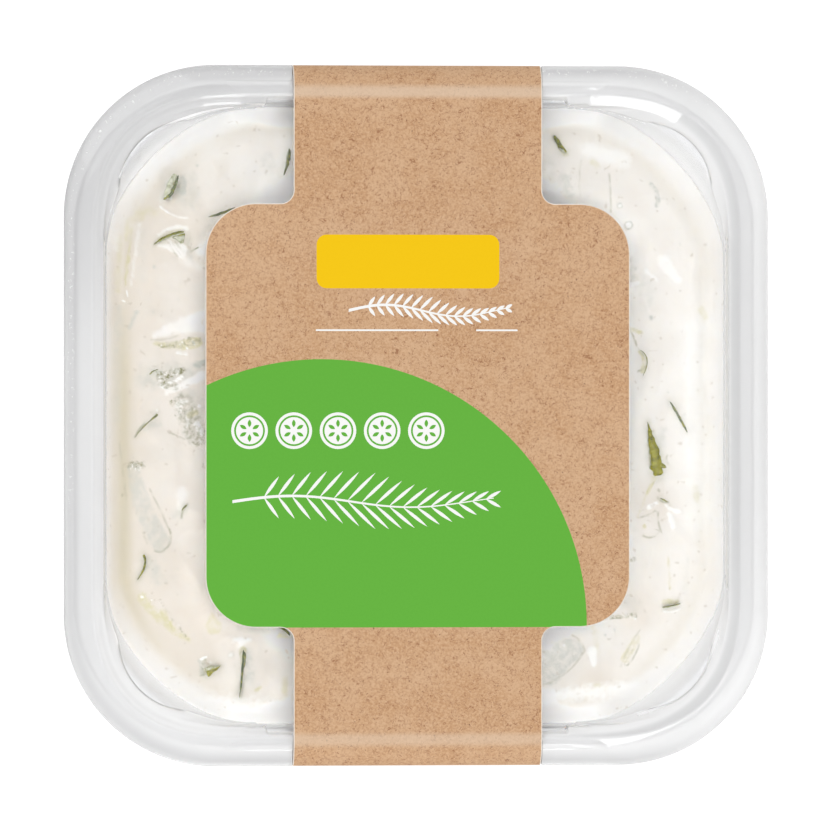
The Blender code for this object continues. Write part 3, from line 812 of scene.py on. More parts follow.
def flat_top():
    """Points and triangles of the flat top, and the ink of each triangle."""
    edge, inner = card_outline(0.0), card_outline(CUT_EDGE)
    outlines = [edge, inner] + [shape for _, shape in printed]
    starts = np.cumsum([0] + [len(shape) for shape in outlines])
    lines = [
        (int(first + i), int(first + (i + 1) % len(shape)))
        for first, shape in zip(starts, outlines)
        for i in range(len(shape))
    ]
    corners = [Vector(point) for point in np.vstack(outlines)]
    points, _, triangles, *_ = delaunay_2d_cdt(corners, lines, [], 0, 1e-6)
    points, triangles = np.array(points), np.array(triangles)
    middles = points[triangles].mean(axis=1)
    kept = within(middles, edge)
    triangles, middles = triangles[kept], middles[kept]
    used, triangles = np.unique(triangles, return_inverse=True)
    points, triangles = points[used], triangles.reshape(-1, 3)
    ink = np.full(len(triangles), KRAFT)
    for colour, shape in printed:
        ink[within(middles, shape)] = colour
    ink[~within(middles, inner)] = CARD_EDGE
    return points, triangles, ink


top_points, top_triangles, top_ink = flat_top()
print("flat top", len(top_triangles), "triangles")

# %% [markdown]
# ## The bent ends
#
# Below the flat top both faces of the card follow the same arcs, one card's thickness apart. The
# arcs share their centres, so the two faces stay parallel, and the straight stretch between them
# needs no points of its own.

# %% The bent ends
SLOW_RADIUS, SLOW_TURN = 9.0, 17.0
FOOT_Y, FOOT_RADIUS = 42.6, 1.5


def bend(centre, radius, start, end, steps):
    """Rows of y and z along a bend: centre + radius * (sin, cos) of its angle from straight up."""
    angle = np.radians(np.linspace(start, end, steps + 1))
    return np.column_stack([centre[0] + radius * np.sin(angle), centre[1] + radius * np.cos(angle)])


def band_path(grow):
    """One face of the band on its +Y side, from the flat top to the flat underside."""
    card = CARD / MM
    inside, widest = CARD_TOP / MM - card, HALF_Y / MM - card
    slow_centre = FLAT_END, inside - SLOW_RADIUS
    end_y, end_z = bend(slow_centre, SLOW_RADIUS, 0, SLOW_TURN, 1)[-1]
    turn = math.radians(SLOW_TURN)
    tight = (widest - end_y) / (1 - math.sin(turn))
    centre = widest - tight, end_z - tight * math.cos(turn)
    lean = math.degrees(math.atan2(widest - FOOT_Y - FOOT_RADIUS, centre[1] - card))
    return np.vstack([
        bend(slow_centre, SLOW_RADIUS + grow, 0, SLOW_TURN, 8),
        bend(centre, tight + grow, SLOW_TURN, 90 + lean, 24)[1:],
        bend((FOOT_Y, card + FOOT_RADIUS), FOOT_RADIUS + grow, 90 + lean, 180, 10),
    ])


def band_strip(grow):
    """A grid of points over one face of the whole bent band, row by row."""
    half = band_path(grow)
    rows = np.vstack([half, half[::-1] * [-1, 1]])
    columns = np.array([-BAND_HALF, CUT_EDGE - BAND_HALF, BAND_HALF - CUT_EDGE, BAND_HALF])
    x = np.broadcast_to(columns[None, :], (len(rows), 4))
    y, z = np.broadcast_to(rows[:, :1], x.shape), np.broadcast_to(rows[:, 1:], x.shape)
    return np.stack([x, y, z], axis=-1)


outer_strip, inner_strip = band_strip(CARD / MM), band_strip(0.0)
print("bent band", outer_strip.shape[0], "rows")

# %% [markdown]
# ## The card's finish
#
# Kraft card is pressed from brown fibre. Up close it has pale and pinkish clouds, fine grain,
# clusters of short dark fibres that curl, and a few black specks. A fibre is drawn as the thin
# line where one noise passes through its middle value, kept only where a second noise is high.

# %% The card's finish
STUDIO_LIGHT = 1.2


def lit(red, green, blue):
    """The base colour that the studio's light turns into the given screen colour."""
    return (*[share / STUDIO_LIGHT for share in screen(red, green, blue)[:3]], 1.0)


def kraft_finish():
    """Brown card with clouds, grain, curled fibres and specks, and a painted highlight over its bends."""
    made = Finish("kraft", lit(207, 166, 128), 0.75)
    place = made.place()
    clouds = made.ramp(made.noise(place, 0.16, 5.0, 0.62), 0.36, 0.66)
    colour = made.blend(clouds, lit(205, 162, 122), lit(215, 176, 139))
    grain = made.noise(place, 2.6, 4.0, 0.75)
    colour = made.blend(made.ramp(grain, 0.34, 0.56), lit(221, 182, 145), colour)
    colour = made.blend(made.ramp(grain, 0.50, 0.68, 0.0, 0.6), colour, lit(184, 139, 101))
    for shift, size in ((0.0, 0.85), (31.0, 1.35)):
        drawn = made.place(shift=(shift, 2 * shift, 3.0))
        middle = made.maths("SUBTRACT", made.noise(drawn, size, 2.0, 0.6, 0.8), 0.5)
        thin = made.ramp(made.maths("ABSOLUTE", middle, 0.0), 0.006, 0.02, 1.0, 0.0)
        where = made.ramp(made.noise(made.place(shift=(40 + shift, 7, 3)), 1.1 * size, 2.0), 0.47, 0.56)
        fibres = made.times(thin, where)
        colour = made.blend(made.times(fibres, 0.7), colour, lit(150, 100, 68))
    speck = made.ramp(made.noise(made.place(shift=(9, 50, 1)), 2.3, 1.0), 0.735, 0.775)
    colour = made.blend(made.times(speck, 0.75), colour, lit(112, 76, 52))
    # Painted highlight: the card is paler across each bend over the rim, only high up, more at the back.
    split = made.node("ShaderNodeSeparateXYZ", {0: place})
    far = made.maths("ABSOLUTE", split.outputs["Y"], 0.0)
    bent = made.times(made.ramp(far, 49.8, 50.9), made.ramp(far, 51.5, 52.8, 1.0, 0.0))
    bent = made.times(bent, made.ramp(split.outputs["Z"], 26.0, 29.0))
    bent = made.times(bent, made.ramp(split.outputs["Y"], -50.0, 50.0, 0.52, 0.70))
    colour = made.blend(bent, colour, lit(230, 204, 178))
    made.feed(Base_Color=colour, Specular_IOR_Level=0.2)
    made.bump(made.maths("ADD", grain, made.times(fibres, 0.4)), 0.03 * MM, 0.5)
    return made.material


def ink_finish(name, colour, darker):
    """Flat ink that the card's grain shows through faintly."""
    made = Finish(name, colour, 0.6)
    grain = made.noise(made.place(), 2.4, 4.0, 0.6)
    inked = made.blend(made.ramp(grain, 0.35, 0.7, 0.0, 0.5), colour, darker)
    made.feed(Base_Color=inked, Specular_IOR_Level=0.12)
    made.bump(grain, 0.02 * MM, 0.4)
    return made.material


card_finishes = [
    kraft_finish(),
    ink_finish("card_edge", lit(246, 238, 228), lit(232, 220, 204)),
    ink_finish("green_ink", lit(102, 182, 62), lit(99, 178, 60)),
    ink_finish("yellow_ink", lit(249, 202, 0), lit(252, 205, 0)),
    ink_finish("white_ink", lit(254, 254, 252), lit(250, 249, 246)),
]
print(len(card_finishes), "finishes on the card")

# %% [markdown]
# ## Make the sleeve
#
# Flat top and bent ends are put together as plain lists of points and faces, with a narrow face
# along each cut edge, which shows the card's pale core. Welding the points where they meet makes
# one closed sheet of them, and a last count of open edges says whether that went well.

# %% Make the sleeve


def rim_of_top():
    """Sides that only one triangle of the flat top has, but not those where the bent ends begin."""
    sides = np.vstack([top_triangles[:, [i, (i + 1) % 3]] for i in range(3)])
    _, first, uses = np.unique(np.sort(sides, axis=1), axis=0, return_index=True, return_counts=True)
    rim = sides[first[uses == 1]]
    return rim[np.abs(top_points[rim, 1]).min(axis=1) < FLAT_END - 1e-4]


def make_sleeve():
    """Flat top, its underside, the bent band's two faces and all cut edges, welded into one sheet."""
    card, top = CARD / MM, CARD_TOP / MM
    count = len(top_points)
    upper = np.column_stack([top_points, np.full(count, top)])
    lower = np.column_stack([top_points, np.full(count, top - card)])
    rim = rim_of_top()
    walls = np.column_stack([rim[:, 0], rim[:, 0] + count, rim[:, 1] + count, rim[:, 1]])
    rows = len(outer_strip)
    row, column = (grid.ravel() for grid in np.meshgrid(np.arange(rows - 1), np.arange(3), indexing="ij"))
    first = 2 * count + row * 4 + column
    outer = np.column_stack([first, first + 1, first + 5, first + 4])[:, ::-1]
    inner = outer[:, ::-1] + rows * 4
    down = 2 * count + np.arange(rows - 1) * 4
    left = np.column_stack([down, down + 4, down + 4 + rows * 4, down + rows * 4])[:, ::-1]
    right = (left + 3)[:, ::-1]
    points = np.vstack([upper, lower, outer_strip.reshape(-1, 3), inner_strip.reshape(-1, 3)])
    faces = [top_triangles, top_triangles[:, ::-1] + count, walls, outer, inner, left, right]
    inks = [top_ink, np.full(len(top_triangles), KRAFT), np.full(len(walls), CARD_EDGE)]
    inks += [np.where(column == 1, KRAFT, CARD_EDGE), np.full(len(inner), KRAFT)]
    inks += [np.full(len(left) + len(right), CARD_EDGE)]
    mesh = bpy.data.meshes.new("sleeve_card")
    mesh.from_pydata((points * MM).tolist(), [], [face for group in faces for face in group.tolist()])
    mesh.polygons.foreach_set("material_index", np.concatenate(inks))
    sheet = bmesh.new()
    sheet.from_mesh(mesh)
    bmesh.ops.remove_doubles(sheet, verts=sheet.verts, dist=0.002 * MM)
    bmesh.ops.recalc_face_normals(sheet, faces=sheet.faces)
    sheet.to_mesh(mesh)
    open_edges = sum(not line.is_manifold for line in sheet.edges)
    sheet.free()
    mesh.shade_smooth()
    mesh.set_sharp_from_angle(angle=math.radians(35))
    print("sleeve edges that are not closed:", open_edges)
    add_piece("sleeve_card", mesh, "sleeve", card_finishes)


make_sleeve()

# %% [markdown]
# ## The dip
#
# The dip fills the tub up to its level. Its sides follow the tub's inner face and reach a tenth
# of a millimetre into the plastic, so that no film of air shows between them. Its top is a height
# worked out for every point: the level, soft lumps and stroked ridges, and a trough along the
# wall, from the same seeded draws as the solid. Finer strokes come on top, and a lip where the
# dip closes round each piece of cucumber.

# %% The dip's broad relief
LUMP_COUNT = 90
LUMP_REACH = 44.0
LUMP_WIDTH = (2.4, 5.2)
LUMP_RISE = (-0.6, 0.9)
RIDGE_COUNT = 34
RIDGE_REACH = 42.0
RIDGE_LENGTH = (6.0, 11.0)
RIDGE_WIDTH = (1.3, 2.2)
RIDGE_RISE = (0.3, 0.85)


def broad_relief(x, y, inset):
    """Height over the level in millimetres, at x and y and so far in from the wall.

    The sum of rise * exp(-(distance / width)^2) over round lumps and long ridges, faded out
    towards the wall, less a trough 3 mm in from it, plus a smear that climbs it.
    """
    draw = np.random.default_rng(SEED)
    lumps = [draw.uniform(-LUMP_REACH, LUMP_REACH, LUMP_COUNT) for _ in range(2)]
    lumps += [draw.uniform(*LUMP_WIDTH, LUMP_COUNT), draw.uniform(*LUMP_RISE, LUMP_COUNT)]
    ridges = [draw.uniform(-RIDGE_REACH, RIDGE_REACH, RIDGE_COUNT) for _ in range(2)]
    ridges += [draw.uniform(*RIDGE_LENGTH, RIDGE_COUNT), draw.uniform(*RIDGE_WIDTH, RIDGE_COUNT)]
    ridges += [draw.uniform(0.0, math.pi, RIDGE_COUNT), draw.uniform(*RIDGE_RISE, RIDGE_COUNT)]
    height = np.zeros_like(x)
    for centre_x, centre_y, width, rise in zip(*lumps):
        height += rise * np.exp(-((x - centre_x) ** 2 + (y - centre_y) ** 2) / width**2)
    for centre_x, centre_y, length, width, angle, rise in zip(*ridges):
        along = (x - centre_x) * math.cos(angle) + (y - centre_y) * math.sin(angle)
        across = (y - centre_y) * math.cos(angle) - (x - centre_x) * math.sin(angle)
        height += rise * np.exp(-((along / length) ** 2) - (across / width) ** 2)
    height *= 0.6 * smoothstep(0.0, 4.0, inset)
    height -= 0.6 * np.exp(-(((inset - 3.0) / 1.8) ** 2))
    height += 0.35 * np.exp(-((inset / 1.2) ** 2))
    return np.clip(height, -1.5, 1.3)


print(LUMP_COUNT, "lumps and", RIDGE_COUNT, "ridges shape the dip's top")

# %% [markdown]
# ## Marks of what lies under the surface
#
# Most of the cucumber lies just under the dip and only shows as something greyer, whiter or
# yellower than the rest, with an edge that is soft or sharp. Grey marks also paint the shade
# beside pieces and near the card, and white marks paint highlights on wet ridges and facets. So
# each is a mark on the dip's own surface. Tables say where they lie, because they have to lie
# where they do in the real tub: strokes that run along a bent line, and dots.

# %% Grey marks
# Both ends in x and y, how far the middle is bent to the left, the half widths at both ends, how
# soft the edge is, all in millimetres, and how strong the mark is
# Many grey marks are painted shade, beside pieces and near the card.
STROKES = {"grey": [
    (-36.9, 37.5, -37, 35.6, 0, 0.8, 0.95, 0.4, 0.8), (-37.5, 35.3, -36.9, 33.9, 0, 0.8, 0.95, 0.64, 0.45),
    (-35.6, 37.6, -35.4, 33.4, 0, 1, 0.9, 1.1, 0.35), (-43.2, 29.3, -43.4, 21.5, 0, 0.64, 0.44, 0.7, 0.22),
    (-36.3, 27.2, -35.8, 25.1, 0, 0.48, 0.48, 0.48, 0.4),
    (-44.2, 16.4, -45.3, 14, 0, 0.32, 0.24, 0.32, 0.8), (-42.3, 6, -34.3, 7, 0, 1.91, 1.43, 0.95, 0.5),
    (-35, 7.8, -33.4, 8.3, 0, 0.56, 0.64, 0.32, 1), (-42.5, -1.9, -40.7, -1.1, 0, 0.64, 0.56, 0.56, 0.6),
    (-44.7, -8.6, -40.4, -20.2, -1.2, 1.11, 1.59, 0.32, 0.55),
    (-37.8, -15.7, -36.6, -14.6, 0, 0.8, 0.64, 0.64, 0.4),
    (-42.3, -23.4, -40.7, -26.1, 0, 1.11, 0.95, 0.8, 0.5),
    (-33.9, -39.1, -33.4, -41, 0, 0.56, 0.48, 0.24, 0.6),
    (-26.6, -38, -26.2, -42, 0, 0.8, 0.64, 0.64, 0.55), (-35.9, 2.2, -35, -2.9, 0, 2.23, 1.75, 0.48, 0.4),
    (-28, -33.7, -22.4, -34.3, 0, 0.48, 0.48, 0.48, 0.4),
    (23.9, 37.5, 24.5, 35.3, 0, 0.95, 0.95, 0.64, 0.6), (21, 39.9, 21.6, 35.1, 0, 1.27, 1.27, 0.95, 0.3),
    (36.4, 21.6, 37.5, 17.6, 0, 1.27, 1.11, 0.95, 0.25), (38, 36.9, 38.8, 33.5, 1.1, 0.32, 0.32, 0.24, 0.9),
    (34.3, 24.5, 34.7, 21.3, 0, 0.8, 0.48, 0.64, 0.6), (21, -39.8, 25.1, -37.4, 1, 3.18, 1.75, 0.32, 0.6),
    (-47.1, 16.9, -47.4, -0.6, 0, 0.48, 0.48, 0.8, 0.35),
    (39.6, -2.2, 38.8, -7.3, 0, 0.48, 0.8, 0.64, 0.35), (41.3, 1.9, 44.2, -1.9, 0, 0.8, 0.64, 0.64, 0.3),
    (29.3, -28.6, 35.6, -30.2, 0, 0.95, 0.8, 0.8, 0.25),
    (43.6, -22.9, 43.2, -29.3, 0, 0.4, 0.32, 0.48, 0.25),
    (-30.2, 46.7, -24.5, 47.4, 0, 0.8, 0.64, 0.8, 0.3), (-23.5, 40.7, -21.6, 35.9, 0, 0.95, 0.8, 0.8, 0.3),
    (-32.1, 30.4, -34, 28.3, 0, 0.8, 0.64, 0.48, 0.35),
]}
print(len(STROKES["grey"]), "grey strokes")

# %% White marks
# Many white marks are painted highlights on wet ridges, facets and flecks.
STROKES["white"] = [
    (-40.5, 33.2, -36.1, 31.3, -0.9, 0.19, 0.16, 0.16, 0.9),
    (-38.8, 37.5, -40.1, 34.3, 0, 0.48, 0.48, 0.48, 0.4),
    (-40.7, 28.6, -36.3, 29.7, 1.2, 0.25, 0.35, 0.22, 0.7),
    (-40.7, 27, -37.2, 26.4, 0, 0.24, 0.95, 0.22, 0.7), (-39, 27.5, -37, 25.4, 0, 0.32, 0.64, 0.22, 0.6),
    (-43.8, 30.2, -45.1, 20.8, 0, 0.4, 0.22, 0.22, 0.45), (-45, 30.2, -43.8, 29.6, 0, 0.5, 0.5, 0.5, 0.15),
    (-45.8, 19.9, -45.6, 18.8, 0, 0.13, 0.13, 0.08, 0.9), (-46.6, 18.4, -46, 18, 0, 0.14, 0.11, 0.08, 0.8),
    (-41.2, 12.7, -33.4, 14.8, 1, 0.4, 1.75, 0.45, 0.65),
    (-37.5, 11.1, -36.9, 11.8, 0, 0.14, 0.14, 0.08, 1), (-36.6, 11.1, -36.1, 10.5, 0, 0.14, 0.14, 0.08, 1),
    (-35.5, 11.9, -35, 11.3, 0, 0.13, 0.13, 0.08, 1), (-37.8, 10, -36.3, 9.7, 0, 0.21, 0.19, 0.13, 0.9),
    (-40.5, 4.8, -39.9, 4.3, 0, 0.21, 0.19, 0.1, 1), (-39.3, 5.1, -38.5, 5.4, 0, 0.17, 0.16, 0.1, 1),
    (-38, 5.6, -37, 6.2, 0, 0.24, 0.21, 0.1, 1), (-39.4, 3.7, -33.5, 6.4, 0, 0.48, 0.73, 0.3, 0.7),
    (-37.5, 1.7, -36.4, 2.4, 0, 0.51, 0.48, 0.16, 0.8), (-34.7, -1.4, -34, -2.7, 0, 0.51, 0.48, 0.16, 0.9),
    (-35.8, -1, -36.3, -1.9, 0, 0.21, 0.17, 0.1, 0.9), (-36.9, 1, -37.4, 0.5, 0, 0.16, 0.16, 0.1, 0.8),
    (-45.2, -8.7, -44.8, -7.4, 0, 0.11, 0.1, 0.08, 1), (-44.5, -8.7, -44.2, -7.6, 0, 0.1, 0.1, 0.08, 1),
    (-43.9, -8.9, -43.6, -8, 0, 0.11, 0.1, 0.08, 1), (-37, -12.2, -37.4, -14.6, 0, 0.85, 0.4, 0.5, 0.55),
    (-34, -38.7, -33.2, -38.3, 0, 0.24, 0.21, 0.1, 1),
    (-28.8, -35.6, -26.4, -35.6, 0, 0.35, 0.32, 0.3, 0.7),
    (-27.5, -35.8, -28, -36.7, 0, 0.72, 0.13, 0.3, 0.7), (-32, -45.5, -20, -46.3, 0, 1, 1.2, 1.2, 0.7),
    (27.7, 42.3, 33.2, 41, 0, 1.11, 1.43, 0.8, 0.7), (36.9, 22.9, 38.8, 21.6, 0, 0.35, 0.24, 0.3, 0.7),
    (39.8, 24.5, 42, 21.6, 0, 1.11, 0.64, 0.4, 0.7), (34.3, 20.8, 35.6, 21.1, 0, 0.32, 0.32, 0.16, 0.9),
    (37.4, -14.6, 38.8, -13.9, 0, 0.41, 0.22, 0.16, 0.95),
    (40.1, -14.3, 42.3, -15.3, -0.5, 0.22, 0.35, 0.16, 0.95),
    (40.7, -15.9, 41.3, -17.6, 0, 0.48, 0.38, 0.25, 0.8),
    (39.9, -31.2, 42.6, -30.8, -0.6, 0.19, 0.19, 0.13, 0.9),
    (28.3, -37.5, 28.6, -39.6, 0, 0.8, 0.4, 0.21, 0.95),
    (20.5, -44.8, 35.6, -43.6, 0, 0.95, 1.27, 0.8, 0.85),
    (-47.4, 29.1, -47.5, 26.4, 0, 0.32, 0.32, 0.48, 0.4),
    (44.5, 13.7, 44.8, -10.2, 0, 1.43, 1.43, 1.27, 0.5),
    (-36.6, 24.5, -34.3, 23.5, 0, 0.64, 0.48, 0.48, 0.35),
    (-32.4, 28.6, -33.9, 26.1, 0, 0.48, 0.8, 0.48, 0.5),
]
print(len(STROKES["white"]), "white strokes")

# %% Yellow and olive marks
STROKES["yellow"] = [
    (-44.8, 30.2, -45.5, 25.2, 0, 0.18, 0.24, 0.12, 0.85),
    (-45.5, 25.2, -46, 20.8, -0.1, 0.3, 0.2, 0.16, 1), (-45.2, 31, -43.1, 31.5, 0, 0.5, 0.5, 0.35, 0.35),
    (-45.5, 30.8, -45.8, 28, 0, 0.32, 0.32, 0.32, 0.5), (-40.8, 27.9, -37, 29.7, 0.35, 0.16, 0.22, 0.12, 1),
    (-46.9, 28, -47.2, 20, 0, 0.48, 0.48, 0.48, 0.4),
    (-41.3, 11.4, -34.7, 11.6, -0.7, 0.32, 0.95, 0.24, 0.85),
    (-43.4, -28.9, -35.9, -35.6, -1.3, 0.8, 0.4, 0.32, 0.75),
    (-40.1, -31.2, -38.8, -33.7, 0, 0.57, 0.48, 0.32, 1),
    (-32.9, -40.5, -31.3, -39.9, 0, 0.57, 0.24, 0.13, 1), (-21.5, -35, -20.7, -35, 0, 0.4, 0.4, 0.24, 0.8),
    (-25.3, -43.7, -24.6, -43.1, 0, 0.32, 0.24, 0.16, 0.7),
    (-20.7, -42, -20.7, -44.8, 0, 0.48, 0.48, 0.32, 0.5),
    (-32.3, -31.6, -32, -33.5, 0, 0.16, 1.27, 0.24, 0.55),
    (-27.4, -37.2, -27.4, -39.3, 0, 0.57, 0.32, 0.19, 0.8),
    (28.5, 40.5, 29.1, 39.8, 0, 0.48, 0.48, 0.32, 0.5), (34.2, 13.8, 36.4, 13.2, 0, 0.41, 0.24, 0.22, 0.8),
    (35.9, 10.2, 36.4, 7.2, 1, 0.24, 0.48, 0.17, 0.8), (45.8, 17, 46.6, 15.7, 0, 0.48, 0.48, 0.24, 0.45),
    (38.3, -9.9, 36.7, -13.4, 0, 0.37, 0.19, 0.14, 1), (36.7, -13.4, 35.6, -16.2, 0, 0.19, 0.13, 0.14, 0.6),
    (45, -11.6, 45.2, -13.4, 0, 0.56, 0.56, 0.32, 0.4), (39.9, -29.7, 42, -29.6, 0, 0.4, 0.32, 0.19, 0.8),
    (40.5, -22.6, 40.8, -27.7, 0, 0.17, 0.16, 0.22, 0.6),
    (35.5, -35.6, 33.7, -38.8, 0, 0.64, 0.64, 0.24, 0.6),
    (29.1, -43.1, 30.7, -43.6, 0, 0.48, 0.48, 0.32, 0.7), (24, 41.7, 22.9, 43.1, 0, 0.51, 0.16, 0.22, 0.8),
    (-43.7, 32.1, -41.3, 32.4, 0, 0.64, 0.64, 0.64, 0.5), (-35.9, 0, -35, 0.5, 0, 0.48, 0.48, 0.24, 0.6),
    (37.5, -4.6, 38, -8.6, 0, 0.38, 0.41, 0.16, 0.8), (28.3, -32.4, 29.3, -38, 0, 0.32, 0.32, 0.48, 0.3),
]
STROKES["olive"] = [
    (-40.7, 11.1, -39.9, 10.9, 0, 0.25, 0.21, 0.11, 1), (-39.1, 11, -34.8, 11.9, 0, 0.48, 0.8, 0.22, 0.55),
    (-40.4, 6.2, -36.9, 7.2, 0, 0.8, 0.48, 0.17, 1), (-39.8, 4.9, -39.9, 6.4, 0, 0.64, 0.64, 0.16, 0.9),
    (-42.1, 6.7, -41.2, 7.2, 0, 0.21, 0.21, 0.13, 0.7), (-40.7, 5.1, -38.2, 4.6, 0, 0.4, 0.64, 0.22, 0.5),
    (-36.3, 0, -35.1, 0.3, 0, 0.35, 0.25, 0.13, 1), (-36.9, 1.9, -34.5, -3.5, 0, 1.59, 1.59, 0.48, 0.5),
    (-35.9, -4.3, -33.9, -4.6, 0, 0.19, 0.21, 0.13, 0.8),
    (-45.3, -7.8, -43.4, -7.8, 0, 0.48, 0.57, 0.22, 0.7),
    (-40.7, -29.4, -36.4, -35.1, 0.1, 0.16, 0.21, 0.14, 0.6),
    (-32.6, -40.7, -31.3, -39.9, 0, 0.48, 0.19, 0.1, 0.95),
    (29.9, -32.3, 35.1, -31.8, 0, 0.32, 0.41, 0.16, 0.65),
    (34.2, -23.1, 35.1, -22.9, 0, 0.32, 0.32, 0.19, 0.7), (37.5, -4.9, 38, -8.3, 0, 0.25, 0.25, 0.14, 0.7),
    (-33.4, -38.8, -33.7, -40.7, 0, 0.32, 0.32, 0.19, 0.5),
    (-27.8, -37.5, -27, -39.1, 0, 0.4, 0.32, 0.24, 0.45),
]
print(len(STROKES["yellow"]), "yellow strokes and", len(STROKES["olive"]), "olive ones")

# %% Thin lines and dots
# Both ends in x and y, how far the middle is bent to the left, and how strong the line is
LINES = [
    (-42.1, -11.8, -39, -18.3, 0.1, 0.5), (-39, -18.1, -39.8, -21.3, 1.2, 0.9),
    (-39.8, -21.3, -41.2, -21.5, 0.5, 0.6), (-43.2, -18.6, -42.6, -20.2, 0, 0.4),
    (-43.1, -1.3, -44.4, -3.3, -0.2, 0.95), (-38.9, -2.8, -36.9, -3.7, 0.1, 0.7),
    (-36.3, -14.2, -37.1, -16.1, -0.4, 0.9), (35.9, 10.3, 36.8, 7.8, 0.8, 0.95),
    (36.8, 7.8, 35.8, 7.1, 0.2, 0.7), (34.2, 13.9, 35.4, 11.3, 0.2, 0.8),
    (38.9, -13.2, 40.4, -13.8, -0.4, 0.9), (35.7, -16.3, 38.3, -15.3, -0.3, 0.6),
    (38.9, -15.6, 39.4, -18.8, -0.3, 0.7), (36.6, -19.2, 39, -18.6, -1.1, 0.75),
    (25.3, -35.1, 27.1, -37.4, 0.7, 0.5), (27, -37.5, 22.4, -42.1, 1, 0.45),
    (22.4, -42.1, 20, -43.1, 0.2, 0.5), (35.9, -36.7, 34.2, -39.8, 0.5, 0.7),
    (35.9, -34.3, 33.1, -39.9, -0.5, 0.35), (26.6, 40.4, 26.4, 35.3, -0.4, 0.35),
    (31.1, 38.3, 31.3, 32.6, 0.1, 0.5), (-33.9, -41.3, -31.2, -39.9, -0.2, 0.8),
    (40.3, -6.5, 40.4, -7.6, -0.3, 0.6), (-41.8, 12, -37.8, 12.6, -0.4, 0.4),
    (-39, 27, -37.8, 25.3, -0.1, 0.45), (-38, 27.5, -36.9, 26.1, -0.2, 0.45),
    (-35.5, 26.1, -34.2, 26.7, 0.1, 0.5), (-46.9, -4.6, -45.8, -13.4, 0, 0.3),
]
# Middle in x and y, radius, how soft the edge is, and how strong the dot is
# Grey dots are partly painted shade, and white dots partly painted highlights.
DOTS = {
    "grey": [
        (37.8, 15.6, 0.37, 0.21, 0.9), (32.7, 33.4, 0.54, 0.11, 0.7), (34.1, 30.3, 0.76, 0.11, 0.7),
        (-29.3, -38, 0.67, 0.16, 0.3), (-41.4, 23.5, 0.29, 0.19, 0.8), (-37.3, 21, 0.25, 0.19, 0.35),
        (-37.6, 18.4, 0.21, 0.16, 0.35), (-41.7, 16.4, 0.32, 0.24, 0.4), (-34.6, 39.7, 0.24, 0.16, 0.6),
        (-35.1, 35.6, 0.24, 0.16, 0.5), (40.5, 3.7, 0.21, 0.16, 0.8), (-37.7, -24.4, 0.17, 0.16, 0.8),
        (42.5, 27.3, 0.21, 0.16, 0.6), (30.4, -35, 0.21, 0.16, 0.8), (31.9, -34.2, 0.19, 0.16, 0.8),
    ],
    "white": [
        (-37.5, 37.4, 0.19, 0.1, 1), (-38.7, 34.4, 0.27, 0.1, 1), (-34.3, 1.5, 0.29, 0.1, 1),
        (-35.1, 1, 0.19, 0.1, 0.9), (-41, 0.9, 0.22, 0.13, 0.9), (-43.3, -28.8, 0.27, 0.13, 0.9),
        (-40.2, -30.2, 0.16, 0.1, 0.9), (-41.8, -29.3, 0.14, 0.1, 0.8), (-39, -31.6, 0.14, 0.1, 0.8),
        (-37.5, -33.2, 0.13, 0.1, 0.8), (-32.5, -39.2, 0.22, 0.1, 1), (-33.5, -39.4, 0.13, 0.08, 0.9),
        (-27.9, -43.8, 0.14, 0.08, 1), (33.7, -32, 0.17, 0.1, 1), (35.1, -32.3, 0.21, 0.1, 1),
        (32.4, -32.1, 0.13, 0.08, 1), (23.8, -36.6, 0.21, 0.1, 1), (32.7, 33.4, 0.3, 0.11, 0.7),
        (34.1, 30.3, 0.46, 0.11, 0.7), (-29.3, -38, 0.38, 0.13, 0.5),
    ],
    "yellow": [
        (36.7, -17.7, 0.35, 0.19, 0.8),
    ],
    "olive": [
        (-38.8, 2.2, 0.32, 0.13, 0.9), (-38.1, 1.8, 0.17, 0.1, 1), (-38.1, -0.1, 0.21, 0.1, 1),
        (-35, -3.8, 0.48, 0.19, 0.8), (-44, -8, 0.19, 0.11, 1), (-46.4, -12.7, 0.25, 0.16, 0.7),
        (35.9, 7.1, 0.22, 0.13, 0.7), (36.6, 6.1, 0.27, 0.16, 0.6), (38.2, -10.8, 0.25, 0.13, 0.6),
        (39, -11.9, 0.32, 0.16, 0.5), (39.7, 8.2, 0.19, 0.1, 0.75),
    ],
}
print(len(LINES), "lines and", sum(map(len, DOTS.values())), "dots")

# %% [markdown]
# ## How near a mark is
#
# For every point of the dip's surface the script finds the nearest mark of each kind and how far
# its edge is. A stroke is a string of discs along a bent line, so that is a distance to a line
# less a half width. The dip also swells a little over each mark, as it does over a real piece.

# %% How near a mark is
RISES = {"grey": 0.10, "white": 0.22, "yellow": 0.12, "olive": 0.08}
FAR = 9.0
DISCS = 15
LINE_POINTS = 24


def curve(first, guide, last, t):
    """(1 - t)^2 first + 2 t (1 - t) guide + t^2 last, from one end at t = 0 to the other at 1."""
    return (1 - t) ** 2 * first + 2 * t * (1 - t) * guide + t**2 * last


def bent_line(x1, y1, x2, y2, bend, t):
    """Points of the curve between two ends, and its direction there.

    Its guide is the middle between both ends, moved to the left by the bend.
    """
    length = math.hypot(x2 - x1, y2 - y1)
    guide_x = (x1 + x2) / 2 - bend * (y2 - y1) / length
    guide_y = (y1 + y2) / 2 + bend * (x2 - x1) / length
    step_x = 2 * (1 - t) * (guide_x - x1) + 2 * t * (x2 - guide_x)
    step_y = 2 * (1 - t) * (guide_y - y1) + 2 * t * (y2 - guide_y)
    return curve(x1, guide_x, x2, t), curve(y1, guide_y, y2, t), step_x, step_y


